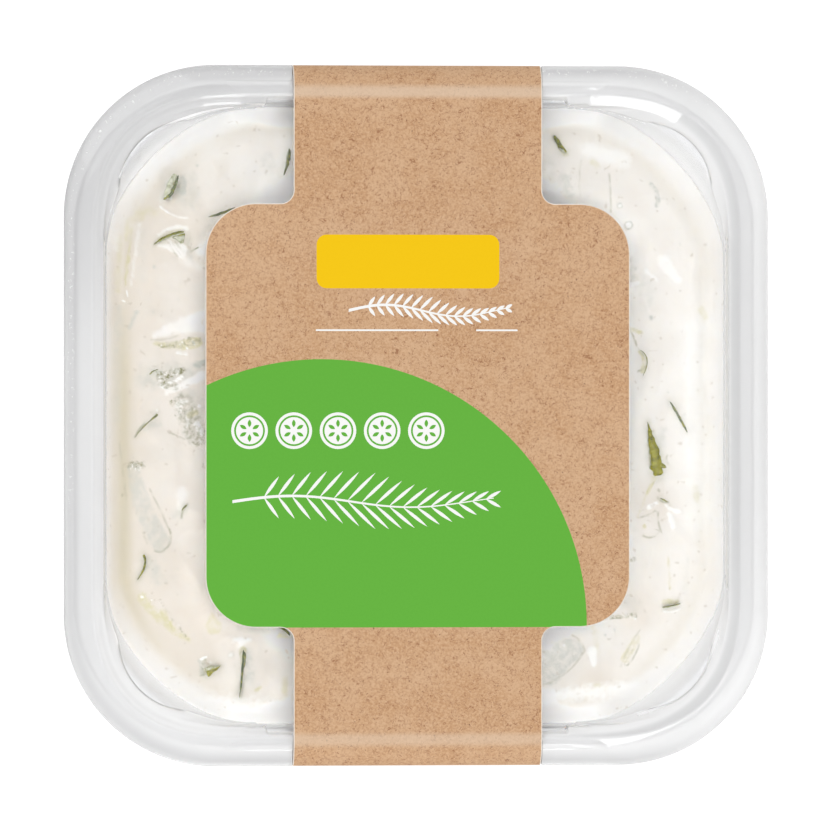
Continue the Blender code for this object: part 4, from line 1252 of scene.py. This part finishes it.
def mark_gaps(x, y, kind):
    """The gap to each mark's edge, less than 0 inside, with the mark's softness and strength.

    The radius of a stroke's discs goes evenly from one half width to the other.
    """
    t = np.linspace(0.0, 1.0, DISCS).reshape(-1, *[1] * x.ndim)
    for *bent, first_half, last_half, soft, share in STROKES[kind]:
        line_x, line_y, *_ = bent_line(*bent, t)
        half = first_half + (last_half - first_half) * t
        yield (np.hypot(x - line_x, y - line_y) - half).min(axis=0), soft, share
    for dot_x, dot_y, radius, soft, share in DOTS[kind]:
        yield np.hypot(x - dot_x, y - dot_y) - radius, soft, share


def near_marks(x, y, kind):
    """The nearest mark's gap over its softness, the gap itself, and the mark's strength."""
    nearest, gaps, strong = np.full_like(x, FAR), np.full_like(x, FAR), np.zeros_like(x)
    for gap, soft, share in mark_gaps(x, y, kind):
        closer = gap / soft < nearest
        nearest = np.where(closer, gap / soft, nearest)
        gaps, strong = np.where(closer, gap, gaps), np.where(closer, share, strong)
    return nearest, gaps, strong


def near_lines(x, y):
    """How far across the nearest thin line a point lies, less than 0 on its right, and its strength.

    That is the cross product of the line's direction with the way to the point. The strength
    fades to both sides, and beyond the line's ends.
    """
    across, strong = np.full_like(x, FAR), np.zeros_like(x)
    t = np.linspace(0.0, 1.0, LINE_POINTS).reshape(-1, *[1] * x.ndim)
    for *bent, share in LINES:
        line_x, line_y, step_x, step_y = bent_line(*bent, t)
        off_x, off_y = x - line_x, y - line_y
        gap = np.hypot(off_x, off_y)
        best = gap.argmin(axis=0)[None]
        turn = (step_x * off_y - step_y * off_x) / np.hypot(step_x, step_y)
        sideways = np.take_along_axis(turn, best, axis=0)[0]
        beyond = np.sqrt(np.maximum(gap.min(axis=0) ** 2 - sideways**2, 0.0))
        fade = smoothstep(0.9, 0.5, np.abs(sideways)) * smoothstep(0.5, 0.15, beyond)
        closer = share * fade > strong
        across, strong = np.where(closer, sideways, across), np.where(closer, share * fade, strong)
    return across, strong


def marks_relief(x, y):
    """The swelling over the marks: each kind's rise times a soft step at the edge, all added up."""
    height = np.zeros_like(x)
    for kind, rise in RISES.items():
        _, gaps, strong = near_marks(x, y, kind)
        height += rise * strong * smoothstep(0.45, -0.45, gaps)
    return height


print("the dip swells by up to", max(RISES.values()), "mm over one mark")

# %% [markdown]
# ## Pieces that show
#
# A few pieces break the surface: slivers of dark skin seen from their edge, and chips of olive
# green peel. Each has a middle line that bends, from one end by way of a guide point to the
# other, and a width that tapers to each end at its own rate.

# %% Pieces that show
# First end, guide point and last end in x and y, width, both tapers, share of skin, vividness,
# share of yellow, and how far it stands out
PIECES = np.array([
    (-38.1, 38.3, -39, 36.4, -39.7, 34.4, 0.95, 0.2, 0.3, 0.15, 0.6, 0.4, 0.16),
    (-37.6, 38.1, -38.2, 35.9, -39.2, 34.5, 0.42, 0.5, 0.4, 1, 0.8, 0.1, 0.22),
    (-39.9, 34.2, -39.4, 34.9, -38.8, 34.9, 0.45, 0.4, 0.4, 0.9, 0.9, 0, 0.22),
    (-41.5, 27.1, -39.6, 28.6, -36.7, 29.1, 0.62, 0.7, 0.3, 0.75, 1, 0.6, 0.24),
    (-38.6, 28.2, -37.6, 28.3, -36.65, 28.1, 1.7, 1, 0.12, 0.32, 1, 0.6, 0.2),
    (-32.9, 31.5, -31, 31.9, -28.6, 33, 0.4, 0.8, 0.5, 0.9, 0.7, 0.1, 0.12),
    (-20, 42.4, -20.1, 40.4, -20.9, 38.1, 0.6, 0.6, 0.6, 0.8, 0.6, 0.3, 0.16),
    (-43.2, -22.1, -42.3, -23.4, -44.1, -26.1, 0.38, 0.3, 0.8, 0.9, 1, 0.55, 0.15),
    (-27.3, -37.2, -27.2, -39.6, -27.9, -44.8, 0.36, 0.5, 0.8, 1, 0.95, 0, 0.16),
    (-27.3, -37.4, -27, -38.6, -27.3, -40.4, 0.62, 0.5, 0.9, 0.6, 0.45, 0.3, 0.1),
    (-22, -33.5, -20.8, -33.6, -19.9, -35, 0.45, 0.5, 0.5, 0.9, 1, 0.45, 0.2),
    (-40.9, 0.2, -41.4, -0.2, -42.3, -1, 0.5, 0.3, 0.9, 0.8, 0.6, 0.5, 0.12),
    (-41.6, -0.4, -43, -1.4, -44.4, -3.3, 0.2, 0.5, 0.8, 0.7, 0.25, 0.1, 0.05),
    (-36.3, -14.2, -36.8, -14.6, -37.1, -15.1, 0.28, 0.5, 0.7, 0.9, 0.55, 0.4, 0.1),
    (22.3, 44.6, 22.8, 43.5, 23.6, 42.3, 0.72, 0.6, 0.5, 1, 1, 0.35, 0.26),
    (23, 43.3, 23.4, 42.6, 24.1, 41.8, 0.8, 0.5, 0.3, 0.55, 1, 1, 0.24),
    (40.8, 2.2, 42, 0.2, 43.6, -2.7, 0.4, 0.5, 0.6, 0.9, 0.3, 0, 0.08),
    (36, 10.4, 37.9, 9.3, 36.4, 6.3, 0.28, 0.6, 0.6, 0.6, 0.35, 0.6, 0.07),
    (39.6, -30.6, 41, -30.5, 42.5, -30, 0.32, 0.6, 0.5, 0.7, 0.3, 0.4, 0.1),
    (37.2, -1, 38.1, -4.8, 38.9, -9.6, 1.95, 1.1, 0.22, 1, 1, 0.95, 0.3),
    (38.9, -7.8, 39.6, -8, 40.2, -8.3, 0.8, 0.3, 0.6, 1, 0.9, 0.8, 0.24),
    (-30.9, -39.7, -32.3, -40.4, -33.2, -40.7, 1.5, 1, 0.15, 0.7, 0.85, 0.9, 0.16),
    (-42.2, 6.5, -41.6, 7.1, -40.8, 7.3, 0.35, 0.5, 0.5, 0.6, 0.3, 0.5, 0.08),
    (39.2, -13.2, 39.8, -13.5, 40.4, -13.8, 0.36, 0.5, 0.5, 0.7, 0.45, 0.5, 0.08),
    (-35.5, 26.1, -35, 26.3, -34.4, 26.7, 0.3, 0.5, 0.5, 0.5, 0.15, 0.6, 0.05),
])
STAIN_AND_SHADE_REACH = 0.6
piece_width, first_taper, last_taper, piece_skin, piece_vivid, piece_yellow, piece_rise = PIECES[:, 6:].T


def along_pieces(t):
    """Points of the middle lines, and the half widths there.

    The half width is width / 2 * t^a * (1 - t)^b / peak, where a and b are the two tapers and the
    peak is the largest that t^a * (1 - t)^b gets.
    """
    x, y = (curve(*(PIECES[:, i + step, None] for step in (0, 2, 4)), t) for i in (0, 1))
    a, b = first_taper[:, None], last_taper[:, None]
    peak = (a / (a + b)) ** a * (b / (a + b)) ** b
    return x, y, 0.5 * piece_width[:, None] * t**a * (1 - t) ** b / peak


def stain_and_shade_of_pieces(x, y):
    """Tint and painted shade round the pieces: the share times exp(-(gap / reach)^2), the most kept.

    The gap is measured from the piece's edge, and a vivid piece has a larger share.
    """
    most = np.zeros_like(x)
    line_x, line_y, half = along_pieces(np.linspace(0.02, 0.98, 14)[None, :])
    for px, py, spread, vivid in zip(line_x, line_y, half, piece_vivid):
        gap = np.sqrt((x[..., None] - px) ** 2 + (y[..., None] - py) ** 2) - spread
        near = np.exp(-((np.maximum(gap.min(axis=-1), 0) / STAIN_AND_SHADE_REACH) ** 2))
        most = np.maximum(most, (0.08 + 0.25 * vivid) * near)
    return most


print(len(PIECES), "pieces of cucumber break the surface")

# %% [markdown]
# ## The dip's fine relief
#
# Yoghurt that was filled and then jolted in its tub has strokes and folds that are soft but end
# in fine edges. Layers of noise at several sizes give the strokes, and one of them is bent by
# another so that they curl.

# %% The dip's fine relief


def fine_relief(x, y, inset):
    """Strokes, folds and grain in millimetres, faded out at the wall, plus the marks' swelling."""
    bend_x, bend_y = 2.5 * cloud(x, y, 7.0, 11), 2.5 * cloud(x, y, 7.0, 12)
    strokes = 0.13 * cloud(x + bend_x, 0.4 * (y + bend_y), 2.2, 13)
    folds = 0.17 * (1 - np.abs(cloud(x + bend_y, y + bend_x, 5.5, 14)) * 2)
    grain = 0.03 * cloud(x, y, 0.9, 15) + 0.012 * cloud(x, y, 0.45, 16)
    return (strokes + folds + grain + marks_relief(x, y)) * smoothstep(0.3, 3.0, inset)


sample = fine_relief(np.linspace(-40.0, 40.0, 161), np.full(161, 40.0), 8.0)
print("fine relief near the back edge:", round(sample.min(), 2), "to", round(sample.max(), 2), "mm")

# %% [markdown]
# ## The dip's rings
#
# The dip is made of rings too. They climb its side along the tub's inner face and then close in
# over its top, a quarter of a millimetre apart where it shows and farther apart under the card.
# Along its edge lies a crease, where the dip sank as it settled.

# %% The dip's rings
INTO_WALL = 0.1
EDGE_FINE = 0.25
EDGE_DROP, CORNER_DROP = 0.3, 3.2
DIP_ARC_STEPS = 100
DIP_SIDES = np.linspace(-0.99, 0.99, 107)
UNDER_CARD = [17.0, 18.0, 20.0, 23.0, 27.0, 32.0, 38.0, 44.0]
DIP_INSETS = np.concatenate([np.arange(0.0, 16.6, EDGE_FINE), UNDER_CARD])
CREASE_INSET, CREASE_DEPTH, CREASE_WIDTH = 2.6, 0.3, 1.7
CORNER_TIGHTENS = 0.62
HIGHEST = 1.8


def in_corner():
    """For each point of a ring, 1 in the middle of a corner and 0 on a straight side."""
    swing = np.linspace(-1.0, 1.0, DIP_ARC_STEPS + 1)
    corner = np.cos(0.5 * math.pi * swing) ** 1.3
    return np.tile(np.concatenate([np.maximum(corner, 0.0), 0 * DIP_SIDES]), 4)


def outline_at(half_x, half_y, radius):
    """A rounded rectangle whose measures may differ at every point of the ring."""
    angle = np.linspace(0.0, math.pi / 2, DIP_ARC_STEPS + 1)
    count = DIP_ARC_STEPS + 1 + len(DIP_SIDES)
    xs, ys = [], []
    for quarter, (sign_x, sign_y) in enumerate(((1, 1), (-1, 1), (-1, -1), (1, -1))):
        own = slice(quarter * count, quarter * count + DIP_ARC_STEPS + 1)
        flat = slice(quarter * count + DIP_ARC_STEPS + 1, (quarter + 1) * count)
        turn = quarter * math.pi / 2
        xs.append(sign_x * (half_x[:, own] - radius[:, own]) + radius[:, own] * np.cos(turn + angle))
        ys.append(sign_y * (half_y[:, own] - radius[:, own]) + radius[:, own] * np.sin(turn + angle))
        if quarter % 2 == 0:
            xs.append(-sign_x * DIP_SIDES * (half_x - radius)[:, flat])
            ys.append(sign_y * half_y[:, flat])
        else:
            xs.append(sign_x * half_x[:, flat])
            ys.append(-sign_y * DIP_SIDES * (half_y - radius)[:, flat])
    return np.hstack(xs), np.hstack(ys)


def dip_rings():
    """Rings up the dip's side, along the tub's inner face, then across its top to the middle.

    The dip doesn't fill the corners quite, so its edge lies lower there. Each ring of the side is
    a share of the way up to that edge, and lies where the wall is at its height.
    """
    half_widths = tub_table[:, 0]
    in_wall = (half_widths < TUB_STATIONS[3, 0]) & (half_widths > TUB_STATIONS[-1, 0] + 0.1)
    table = tub_table[in_wall][::-1]
    corner = in_corner()[None, :]
    edge_height = DIP_LEVEL / MM - EDGE_DROP - CORNER_DROP * corner
    share = np.concatenate([np.linspace(0.0, 0.06, 6), np.linspace(0.1, 1.0, 9)])[:, None]
    low = table[0, 3]
    height = low + share * (edge_height - low)
    half_x, half_y, radius = (np.interp(height, table[:, 3], table[:, i]) + INTO_WALL for i in range(3))
    side = np.stack([*outline_at(half_x, half_y, radius), height], axis=-1)
    inset = DIP_INSETS[:, None]
    tight = np.maximum(radius[-1:] - CORNER_TIGHTENS * inset, 2.0)
    x, y = outline_at(half_x[-1:] - inset, half_y[-1:] - inset, tight)
    deep = inset + 0 * x
    crease = CREASE_DEPTH * np.exp(-(((deep - CREASE_INSET) / CREASE_WIDTH) ** 2))
    settle = (edge_height - DIP_LEVEL / MM) * smoothstep(10.0, 0.0, deep)
    rise = broad_relief(x, y, deep) + fine_relief(x, y, deep) + settle - crease
    top = np.stack([x, y, DIP_LEVEL / MM + np.minimum(rise, HIGHEST)], axis=-1)
    return side * MM, top * MM, deep


dip_side, dip_top, dip_deep = dip_rings()
print("dip rings", len(dip_side), "up the side and", len(dip_top), "across the top of", dip_top.shape[1])

# %% [markdown]
# ## The dip's finish
#
# Yoghurt is white with a little yellow where it lies thick, and light travels a millimetre into
# it, which softens each edge. Cucumber just under the surface shows through grey or green. A set
# of numbers on the mesh's points carries that, and painted shade and light as well: darker and
# creamier down the left side, in the crease, round the pieces and in grey marks, lighter near the
# card, at both ends of the edge and in white marks, which are partly painted highlights. For each
# kind of mark it is how far the nearest edge is, and the shader draws the edge from that, so it
# can be finer than the mesh.

# %% The dip's colours
DIP_LIGHT = 1.08


def dip_colour(red, green, blue):
    """The base colour that the light under the lid turns into the given screen colour."""
    return (*[share / DIP_LIGHT for share in screen(red, green, blue)[:3]], 1.0)


DIP_WHITE = dip_colour(246, 244, 240)
DIP_CREAM_AND_SHADE = dip_colour(228, 220, 209)
DIP_CREASE_SHADE = dip_colour(212, 203, 180)
DIP_GREY_AND_SHADE = dip_colour(198, 200, 192)
DIP_YELLOW = dip_colour(216, 210, 170)
DIP_BRIGHT_AND_HIGHLIGHT = dip_colour(250, 249, 246)
DIP_STAIN_AND_SHADE = dip_colour(176, 178, 156)
DIP_LINE = dip_colour(166, 165, 138)
DIP_SPECK = dip_colour(182, 170, 150)
DIP_OLIVE = dip_colour(134, 134, 90)
DIP_FILM_AND_LIGHT = dip_colour(241, 240, 238)
LIGHTEST = (0.97, 0.955, 0.93)
print("under the lid a colour shows", DIP_LIGHT, "times as bright as its base colour")

# %% The dip's finish


def yoghurt_finish():
    """Moist white yoghurt, tinted by the mesh's numbers, which also paint shade and light, with faint
    specks and broken edge lines.
    """
    made = Finish("yoghurt", (0.86, 0.85, 0.83, 1.0), 0.3)
    place = made.place()
    patches = made.ramp(made.noise(place, 0.22, 3.0), 0.35, 0.7)
    # The creamy share also paints shade, darker down the left side.
    cream_and_shade = made.maths("ADD", made.attribute("cream_and_painted_shade"), made.times(patches, 0.14))
    colour = made.blend(cream_and_shade, DIP_WHITE, DIP_CREAM_AND_SHADE)
    # Painted shade: khaki in the crease along the wall, strongest on the left.
    colour = made.blend(made.attribute("crease"), colour, DIP_CREASE_SHADE)
    mottle = made.ramp(made.noise(place, 0.8, 4.0, 0.65), 0.34, 0.62, 0.3, 1.0)
    wobble = made.times(made.maths("SUBTRACT", made.noise(place, 1.3, 3.0, 0.6), 0.5), 3.2)
    shares = {}
    for kind in ("grey", "yellow", "white", "olive"):
        gap = made.maths("ADD", made.attribute(kind + "_gap"), wobble)
        shares[kind] = made.times(made.ramp(gap, -1.0, 1.0, 1.0, 0.0), made.attribute(kind))
    # Grey marks are partly painted shade, and white ones partly painted highlights.
    colour = made.blend(made.times(shares["grey"], mottle), colour, DIP_GREY_AND_SHADE)
    colour = made.blend(made.times(shares["yellow"], mottle), colour, DIP_YELLOW)
    colour = made.blend(shares["white"], colour, DIP_BRIGHT_AND_HIGHLIGHT)
    # Round each piece a tint that is partly painted shade.
    colour = made.blend(made.times(made.attribute("stain_and_painted_shade"), mottle), colour, DIP_STAIN_AND_SHADE)
    across = made.maths("ADD", made.attribute("across"), made.times(wobble, 0.07))
    line = made.ramp(made.maths("ABSOLUTE", across, 0.0), 0.02, 0.32, 0.72, 0.0)
    broken = made.ramp(made.noise(place, 0.7, 2.0, 0.5), 0.36, 0.56, 0.25, 1.0)
    line = made.times(made.times(line, made.attribute("line")), broken)
    colour = made.blend(line, colour, DIP_LINE)
    grains = made.noise(made.place(shift=(5, 9, 0)), 1.7, 3.0, 0.6)
    dark = made.times(shares["olive"], made.ramp(grains, 0.42, 0.66, 0.12, 1.0))
    colour = made.blend(dark, colour, DIP_OLIVE)
    # Pale flecks in the olive marks are painted glints.
    pale_and_glints = made.times(shares["olive"], made.ramp(grains, 0.42, 0.33))
    colour = made.blend(made.times(pale_and_glints, 0.8), colour, DIP_BRIGHT_AND_HIGHLIGHT)
    # A white film along the edge, and painted light at its shaded ends.
    colour = made.blend(made.attribute("film_and_painted_light"), colour, DIP_FILM_AND_LIGHT)
    speck = made.ramp(made.noise(place, 1.0, 1.0, 0.5), 0.68, 0.76)
    colour = made.blend(made.times(speck, 0.30), colour, DIP_SPECK)
    # Painted light: the colour is raised near the card, where its shade falls, up to a cap.
    lighter = made.ramp(made.attribute("by_card"), 0.0, 2.0, 1.0, 1.5)
    colour = made.node("ShaderNodeVectorMath", {0: colour, "Scale": lighter}, operation="SCALE").outputs[0]
    colour = made.node("ShaderNodeVectorMath", {0: colour, 1: LIGHTEST}, operation="MINIMUM").outputs[0]
    moist = made.ramp(made.noise(place, 0.8, 2.0), 0.3, 0.7, 0.32, 0.5)
    made.feed(Base_Color=colour, Roughness=moist, Specular_IOR_Level=0.35, IOR=1.38)
    made.feed(Subsurface_Weight=0.5, Subsurface_Radius=(1.0, 0.9, 0.75), Subsurface_Scale=0.8 * MM)
    rough = made.times(made.times(shares["olive"], grains), 2.5)
    made.bump(made.maths("ADD", made.noise(place, 2.6, 3.0), rough), 0.04 * MM, 0.5)
    return made.material


yoghurt_white = yoghurt_finish()
print("the yoghurt's finish has", len(yoghurt_white.node_tree.nodes), "nodes")

# %% [markdown]
# ## Make the dip
#
# The numbers that the finish reads are worked out here: how creamy the dip is, with painted shade
# down its left side, where the crease shades it, where a thin white film lies along its edge,
# with painted light at both ends, and where the card hangs over it. The card keeps light off the
# dip below, more than in the photo, so the dip is painted lighter close to it.

# %% Make the dip
# Soft patches: middle in x and y, size, and how much creamier the dip is there
CREAM_PATCHES = np.array([
    (-39.0, 40.0, 3.5, 0.45), (-41.0, 30.0, 6.0, 0.40), (-43.5, 17.0, 3.0, 0.5), (-41.0, -24.0, 4.0, 0.6),
    (-37.0, -34.0, 4.0, 0.5), (-34.0, -38.5, 2.5, 0.5), (-26.0, 40.0, 7.0, -0.45), (38.5, -14.0, 4.0, 0.5),
    (36.0, -31.0, 4.0, 0.45), (29.0, -43.0, 4.0, 0.6), (46.0, -40.0, 3.0, 0.3), (46.5, 5.0, 5.0, -0.3),
    (46.5, 14.0, 5.0, -0.3), (46.5, -6.0, 5.0, -0.3), (46.5, -16.0, 5.0, -0.3),
])
SHADE_INSET, SHADE_WIDTH = CREASE_INSET + 0.6, 1.25
CARD_SHADE_REACH = 7.0
POLE_VALUES = [0.3, 0.3]


def by_the_card(x, y):
    """How near the card is: soft steps down from the band's edge and from the panel's, added up.

    The panel is a rounded rectangle, so its distance is that to the rectangle of its corners'
    centres, less the corner's radius.
    """
    by_band = smoothstep(CARD_SHADE_REACH, 0.0, np.abs(x) - BAND_HALF - 0.1)
    past_x = np.maximum(np.abs(x) - PANEL_HALF_X + PANEL_CORNER, 0.0)
    past_y = np.maximum(np.abs(y) - PANEL_HALF_Y + PANEL_CORNER, 0.0)
    return by_band + smoothstep(CARD_SHADE_REACH, 0.0, np.hypot(past_x, past_y) - PANEL_CORNER)


def painted_shade_and_cream(x, y):
    """A base, more to the left, which is painted shade, less in the back left corner, and the soft patches.

    A patch is its share times exp(-(distance / size)^2).
    """
    spots = sum(
        share * np.exp(-((x - px) ** 2 + (y - py) ** 2) / size**2) for px, py, size, share in CREAM_PATCHES
    )
    leftwards = 0.37 * smoothstep(38.0, -30.0, x - 0.25 * y) + 0.25 * smoothstep(-38.0, -46.0, x)
    return 0.30 + leftwards - 0.6 * smoothstep(70.0, 82.0, y - x) + spots


def edge_film_and_painted_light(y, deep):
    """Where the dip's edge is filmed with white, widest in the corners, and painted light at both ends."""
    corner = 0.85 * in_corner()[None, :] * smoothstep(3.4, 0.8, deep)
    side = 0.6 * smoothstep(1.8, 0.3, deep)
    end = 0.9 * smoothstep(3.6, 1.4, deep) * smoothstep(36.0, 42.0, np.abs(y))
    return np.maximum.reduce([corner, side, end])


def dip_numbers(x, y, deep):
    """All numbers on the dip's top, named as its finish reads them."""
    shade = np.exp(-(((deep - SHADE_INSET) / SHADE_WIDTH) ** 2))
    on_left = smoothstep(-30.0, -42.0, x) * smoothstep(32.0, 14.0, np.abs(y + 10.0))
    # Painted light: the dip's ends, shaded under the card's bends, are lightened.
    at_ends = smoothstep(4.0, 1.5, deep) * smoothstep(36.0, 42.0, np.abs(y))
    across, line = near_lines(x, y)
    numbers = {
        "cream_and_painted_shade": painted_shade_and_cream(x, y),
        "crease": shade * (0.15 + 0.75 * on_left),
        "stain_and_painted_shade": stain_and_shade_of_pieces(x, y),
        "across": across,
        "line": line,
        "film_and_painted_light": edge_film_and_painted_light(y, deep),
        "by_card": by_the_card(x, y) + 1.2 * at_ends * smoothstep(34.0, 26.0, np.abs(x)),
    }
    for kind in RISES:
        numbers[kind + "_gap"], _, numbers[kind] = near_marks(x, y, kind)
    return numbers


def make_dip():
    """The dip over its core: side and top in one closed surface, with its numbers."""
    mesh = solid_of_rings("yoghurt", np.concatenate([dip_side, dip_top]))
    x, y = dip_top[:, :, 0] / MM, dip_top[:, :, 1] / MM
    for name, values in dip_numbers(x, y, dip_deep).items():
        side = np.repeat(values[:1], len(dip_side), axis=0)
        set_attribute(mesh, name, np.concatenate([side.ravel(), values.ravel(), POLE_VALUES]))
    add_piece("yoghurt", mesh, "dip", [yoghurt_white])


make_dip()

# %% [markdown]
# ## The pieces' mesh
#
# Every piece is the same surface: along its middle line and round its section, which is a slab
# with soft shoulders. All pieces are worked out together as one array of pieces by stations by
# points round the section. Its top rides on the dip's own relief, and dips under it where the
# noise is low, so the dip runs over it in places.

# %% The pieces' mesh
PIECE_STATIONS = 30
SECTION_POINTS = 20
PIECE_DEPTH = 1.6
SHOULDER_DROP = 0.25
SLAB_POWER = 0.6


def piece_arrays():
    """Points of all pieces, and for each point the share of skin, the vividness and the yellow.

    Across the middle line the place is the half width times the cosine of an angle, and the
    height is its sine, both raised to a power under 1, which draws the circle out to a slab.
    """
    t = np.linspace(0.004, 0.996, PIECE_STATIONS)[None, :]
    x, y, half = along_pieces(t)
    step_x, step_y = np.gradient(x, axis=1), np.gradient(y, axis=1)
    length = np.hypot(step_x, step_y)
    angle = np.linspace(0.0, 2 * math.pi, SECTION_POINTS, endpoint=False)[None, None, :]
    across = np.sign(np.cos(angle)) * np.abs(np.cos(angle)) ** SLAB_POWER
    up = np.sign(np.sin(angle)) * np.abs(np.sin(angle)) ** SLAB_POWER
    side = np.sign(across)
    ragged = 1.0 + 0.3 * cloud(x[..., None] + 40 * side, y[..., None] + 0 * side, 0.42, 21)
    spread = (half[..., None] + 0.03) * across * ragged
    px = x[..., None] - spread * (step_y / length)[..., None]
    py = y[..., None] + spread * (step_x / length)[..., None]
    far_in = np.full_like(px, 8.0)
    level = broad_relief(px, py, far_in) + fine_relief(px, py, far_in)
    cover = 0.13 * cloud(px, py, 1.3, 22) + 0.05 * cloud(px, py, 0.5, 23)
    skin, vivid, yellow, rise = (
        row[:, None, None] + 0 * px for row in (piece_skin, piece_vivid, piece_yellow, piece_rise)
    )
    top = level + rise * (1.0 - 0.5 * across**2) - 0.02 + cover * rise / 0.2
    low = top - SHOULDER_DROP
    z = np.where(up > 0, low + SHOULDER_DROP * up, low + PIECE_DEPTH * 0.5 * up)
    outer = smoothstep(0.9 - 2.0 * skin, 1.35 - 2.0 * skin, across + 0 * px)
    return np.stack([px, py, z + DIP_LEVEL / MM], axis=-1) * MM, outer, vivid, yellow


def tubes(points):
    """Quads round and along every piece, and a closing face at both of its ends."""
    pieces, stations, section = points.shape[:3]
    one = ring_faces(stations, section)
    step = np.arange(pieces)[:, None, None] * stations * section
    quads = (one[None] + step).reshape(-1, 4)
    this = np.arange(section)
    ends = np.stack([this[::-1], this + (stations - 1) * section])
    caps = (ends[None] + step).reshape(-1, section)
    return quads.tolist() + caps.tolist()


def cucumber_finish():
    """Wet cucumber: dark skin, a yellow-green edge under it, and pale mottled flesh."""
    made = Finish("cucumber", screen(214, 218, 180), 0.2)
    place = made.place()
    skin, vivid, yellow = (made.attribute(name) for name in ("skin", "vivid", "yellow"))
    mottle = made.noise(place, 1.6, 4.0, 0.65)
    flesh = made.blend(made.ramp(mottle, 0.42, 0.62), screen(206, 207, 188), screen(160, 162, 132))
    peel = made.blend(yellow, screen(58, 78, 42), screen(140, 136, 16))
    dull = made.blend(yellow, screen(134, 140, 120), screen(160, 154, 108))
    peel = made.blend(vivid, dull, peel)
    peel = made.blend(made.ramp(mottle, 0.48, 0.62, 0.0, 0.6), peel, screen(180, 176, 60))
    peel = made.blend(made.ramp(mottle, 0.44, 0.36, 0.0, 0.7), peel, screen(66, 72, 22))
    made.feed(Base_Color=made.blend(made.ramp(skin, 0.15, 0.8), flesh, peel))
    made.feed(Subsurface_Weight=0.25, Subsurface_Radius=(0.8, 1.0, 0.5), Subsurface_Scale=0.5 * MM)
    made.bump(made.noise(place, 2.6, 3.0), 0.10 * MM, 0.8)
    return made.material


def make_cucumber():
    """All pieces of cucumber as one mesh."""
    points, skin, vivid, yellow = piece_arrays()
    mesh = bpy.data.meshes.new("cucumber")
    mesh.from_pydata(points.reshape(-1, 3).tolist(), [], tubes(points))
    mesh.shade_smooth()
    for name, values in (("skin", skin), ("vivid", vivid), ("yellow", yellow)):
        set_attribute(mesh, name, values)
    add_piece("cucumber", mesh, materials=[cucumber_finish()])


make_cucumber()

# %% [markdown]
# ## Studio
#
# The pack stands on a white table that glows a little, as a photographer's light table does, so
# that the clear rim stays pale and the shadow soft. The sky is bright overhead and dimmer at the
# horizon, which gives the plastic its grey edges. A soft light comes from the back left, and two
# cards in front draw the long highlights in the rim.

# %% Studio
FLOOR_GLOW = 0.82
FLOOR_SIDE = 6.0
FLOOR_DROP = 0.1 * MM


def make_floor():
    """A square white table with a faint glow of its own, a hair under the card so that both show."""
    mesh = bpy.data.meshes.new("table")
    half = FLOOR_SIDE / 2
    corners = [(-half, -half), (half, -half), (half, half), (-half, half)]
    mesh.from_pydata([(x, y, -FLOOR_DROP) for x, y in corners], [], [(0, 1, 2, 3)])
    made = Finish("table_white", (0.30, 0.30, 0.30, 1.0), 0.9)
    made.feed(Emission_Color=FULL_WHITE, Emission_Strength=FLOOR_GLOW, Specular_IOR_Level=0.0)
    mesh.materials.append(made.material)
    table = bpy.data.objects.new("table", mesh)
    bpy.context.scene.collection.objects.link(table)


def make_sky():
    """A white sky whose brightness grows with height above the horizon."""
    world = bpy.data.worlds.new("studio")
    world.use_nodes = True
    tree = world.node_tree
    place = tree.nodes.new("ShaderNodeTexCoord")
    split = tree.nodes.new("ShaderNodeSeparateXYZ")
    level = tree.nodes.new("ShaderNodeMapRange")
    level.interpolation_type = "SMOOTHSTEP"
    for key, value in (("From Min", 0.45), ("From Max", 1.0), ("To Min", 0.5), ("To Max", 1.45)):
        level.inputs[key].default_value = value
    tree.links.new(place.outputs["Generated"], split.inputs[0])
    tree.links.new(split.outputs["Z"], level.inputs["Value"])
    tree.links.new(level.outputs["Result"], tree.nodes["Background"].inputs["Strength"])
    tree.nodes["Background"].inputs["Color"].default_value = FULL_WHITE
    bpy.context.scene.world = world


def add_light(name, azimuth, elevation, distance, width, height, glow, roll=0.0):
    """A rectangular lamp that faces the pack, with the same brightness whatever its size.

    A lamp of area A that glows with a radiance L gives pi * L * A watts.
    """
    data = bpy.data.lights.new(name, "AREA")
    data.shape = "RECTANGLE"
    data.size, data.size_y = width, height
    data.energy = math.pi * glow * width * height
    light = bpy.data.objects.new(name, data)
    a, e = math.radians(azimuth), math.radians(elevation)
    toward = Vector((math.cos(e) * math.sin(a), -math.cos(e) * math.cos(a), math.sin(e)))
    turn = toward.to_track_quat("Z", "Y").to_matrix() @ Matrix.Rotation(math.radians(roll), 3, "Z")
    light.matrix_world = Matrix.Translation(distance * toward) @ turn.to_4x4()
    bpy.context.scene.collection.objects.link(light)


make_floor()
make_sky()
add_light("key_back_left", 215.0, 52.0, 0.9, width=0.5, height=0.5, glow=1.3)
add_light("card_front_low", -6.4, 22.9, 0.587, width=0.305, height=0.104, glow=7.0)
add_light("card_front_high", 44.0, 69.9, 0.852, width=0.25, height=0.085, glow=7.0, roll=-15.6)
print(len(bpy.data.lights), "lamps")

# %% [markdown]
# ## Light through clear plastic
#
# A ray that enters the pack passes the lid twice and the tub twice, and is bent each time, so it
# needs more steps than through an open scene. Light that is focused by the plastic is kept, and
# light that glints off it is left out, because it would only add grain.

# %% Light through clear plastic
bpy.context.scene.view_settings.view_transform = "Standard"
cycles = bpy.context.scene.cycles
cycles.caustics_refractive = True
cycles.caustics_reflective = False
cycles.max_bounces = 12
cycles.transmission_bounces = 12
cycles.transparent_max_bounces = 16
print("light takes up to", cycles.max_bounces, "steps")
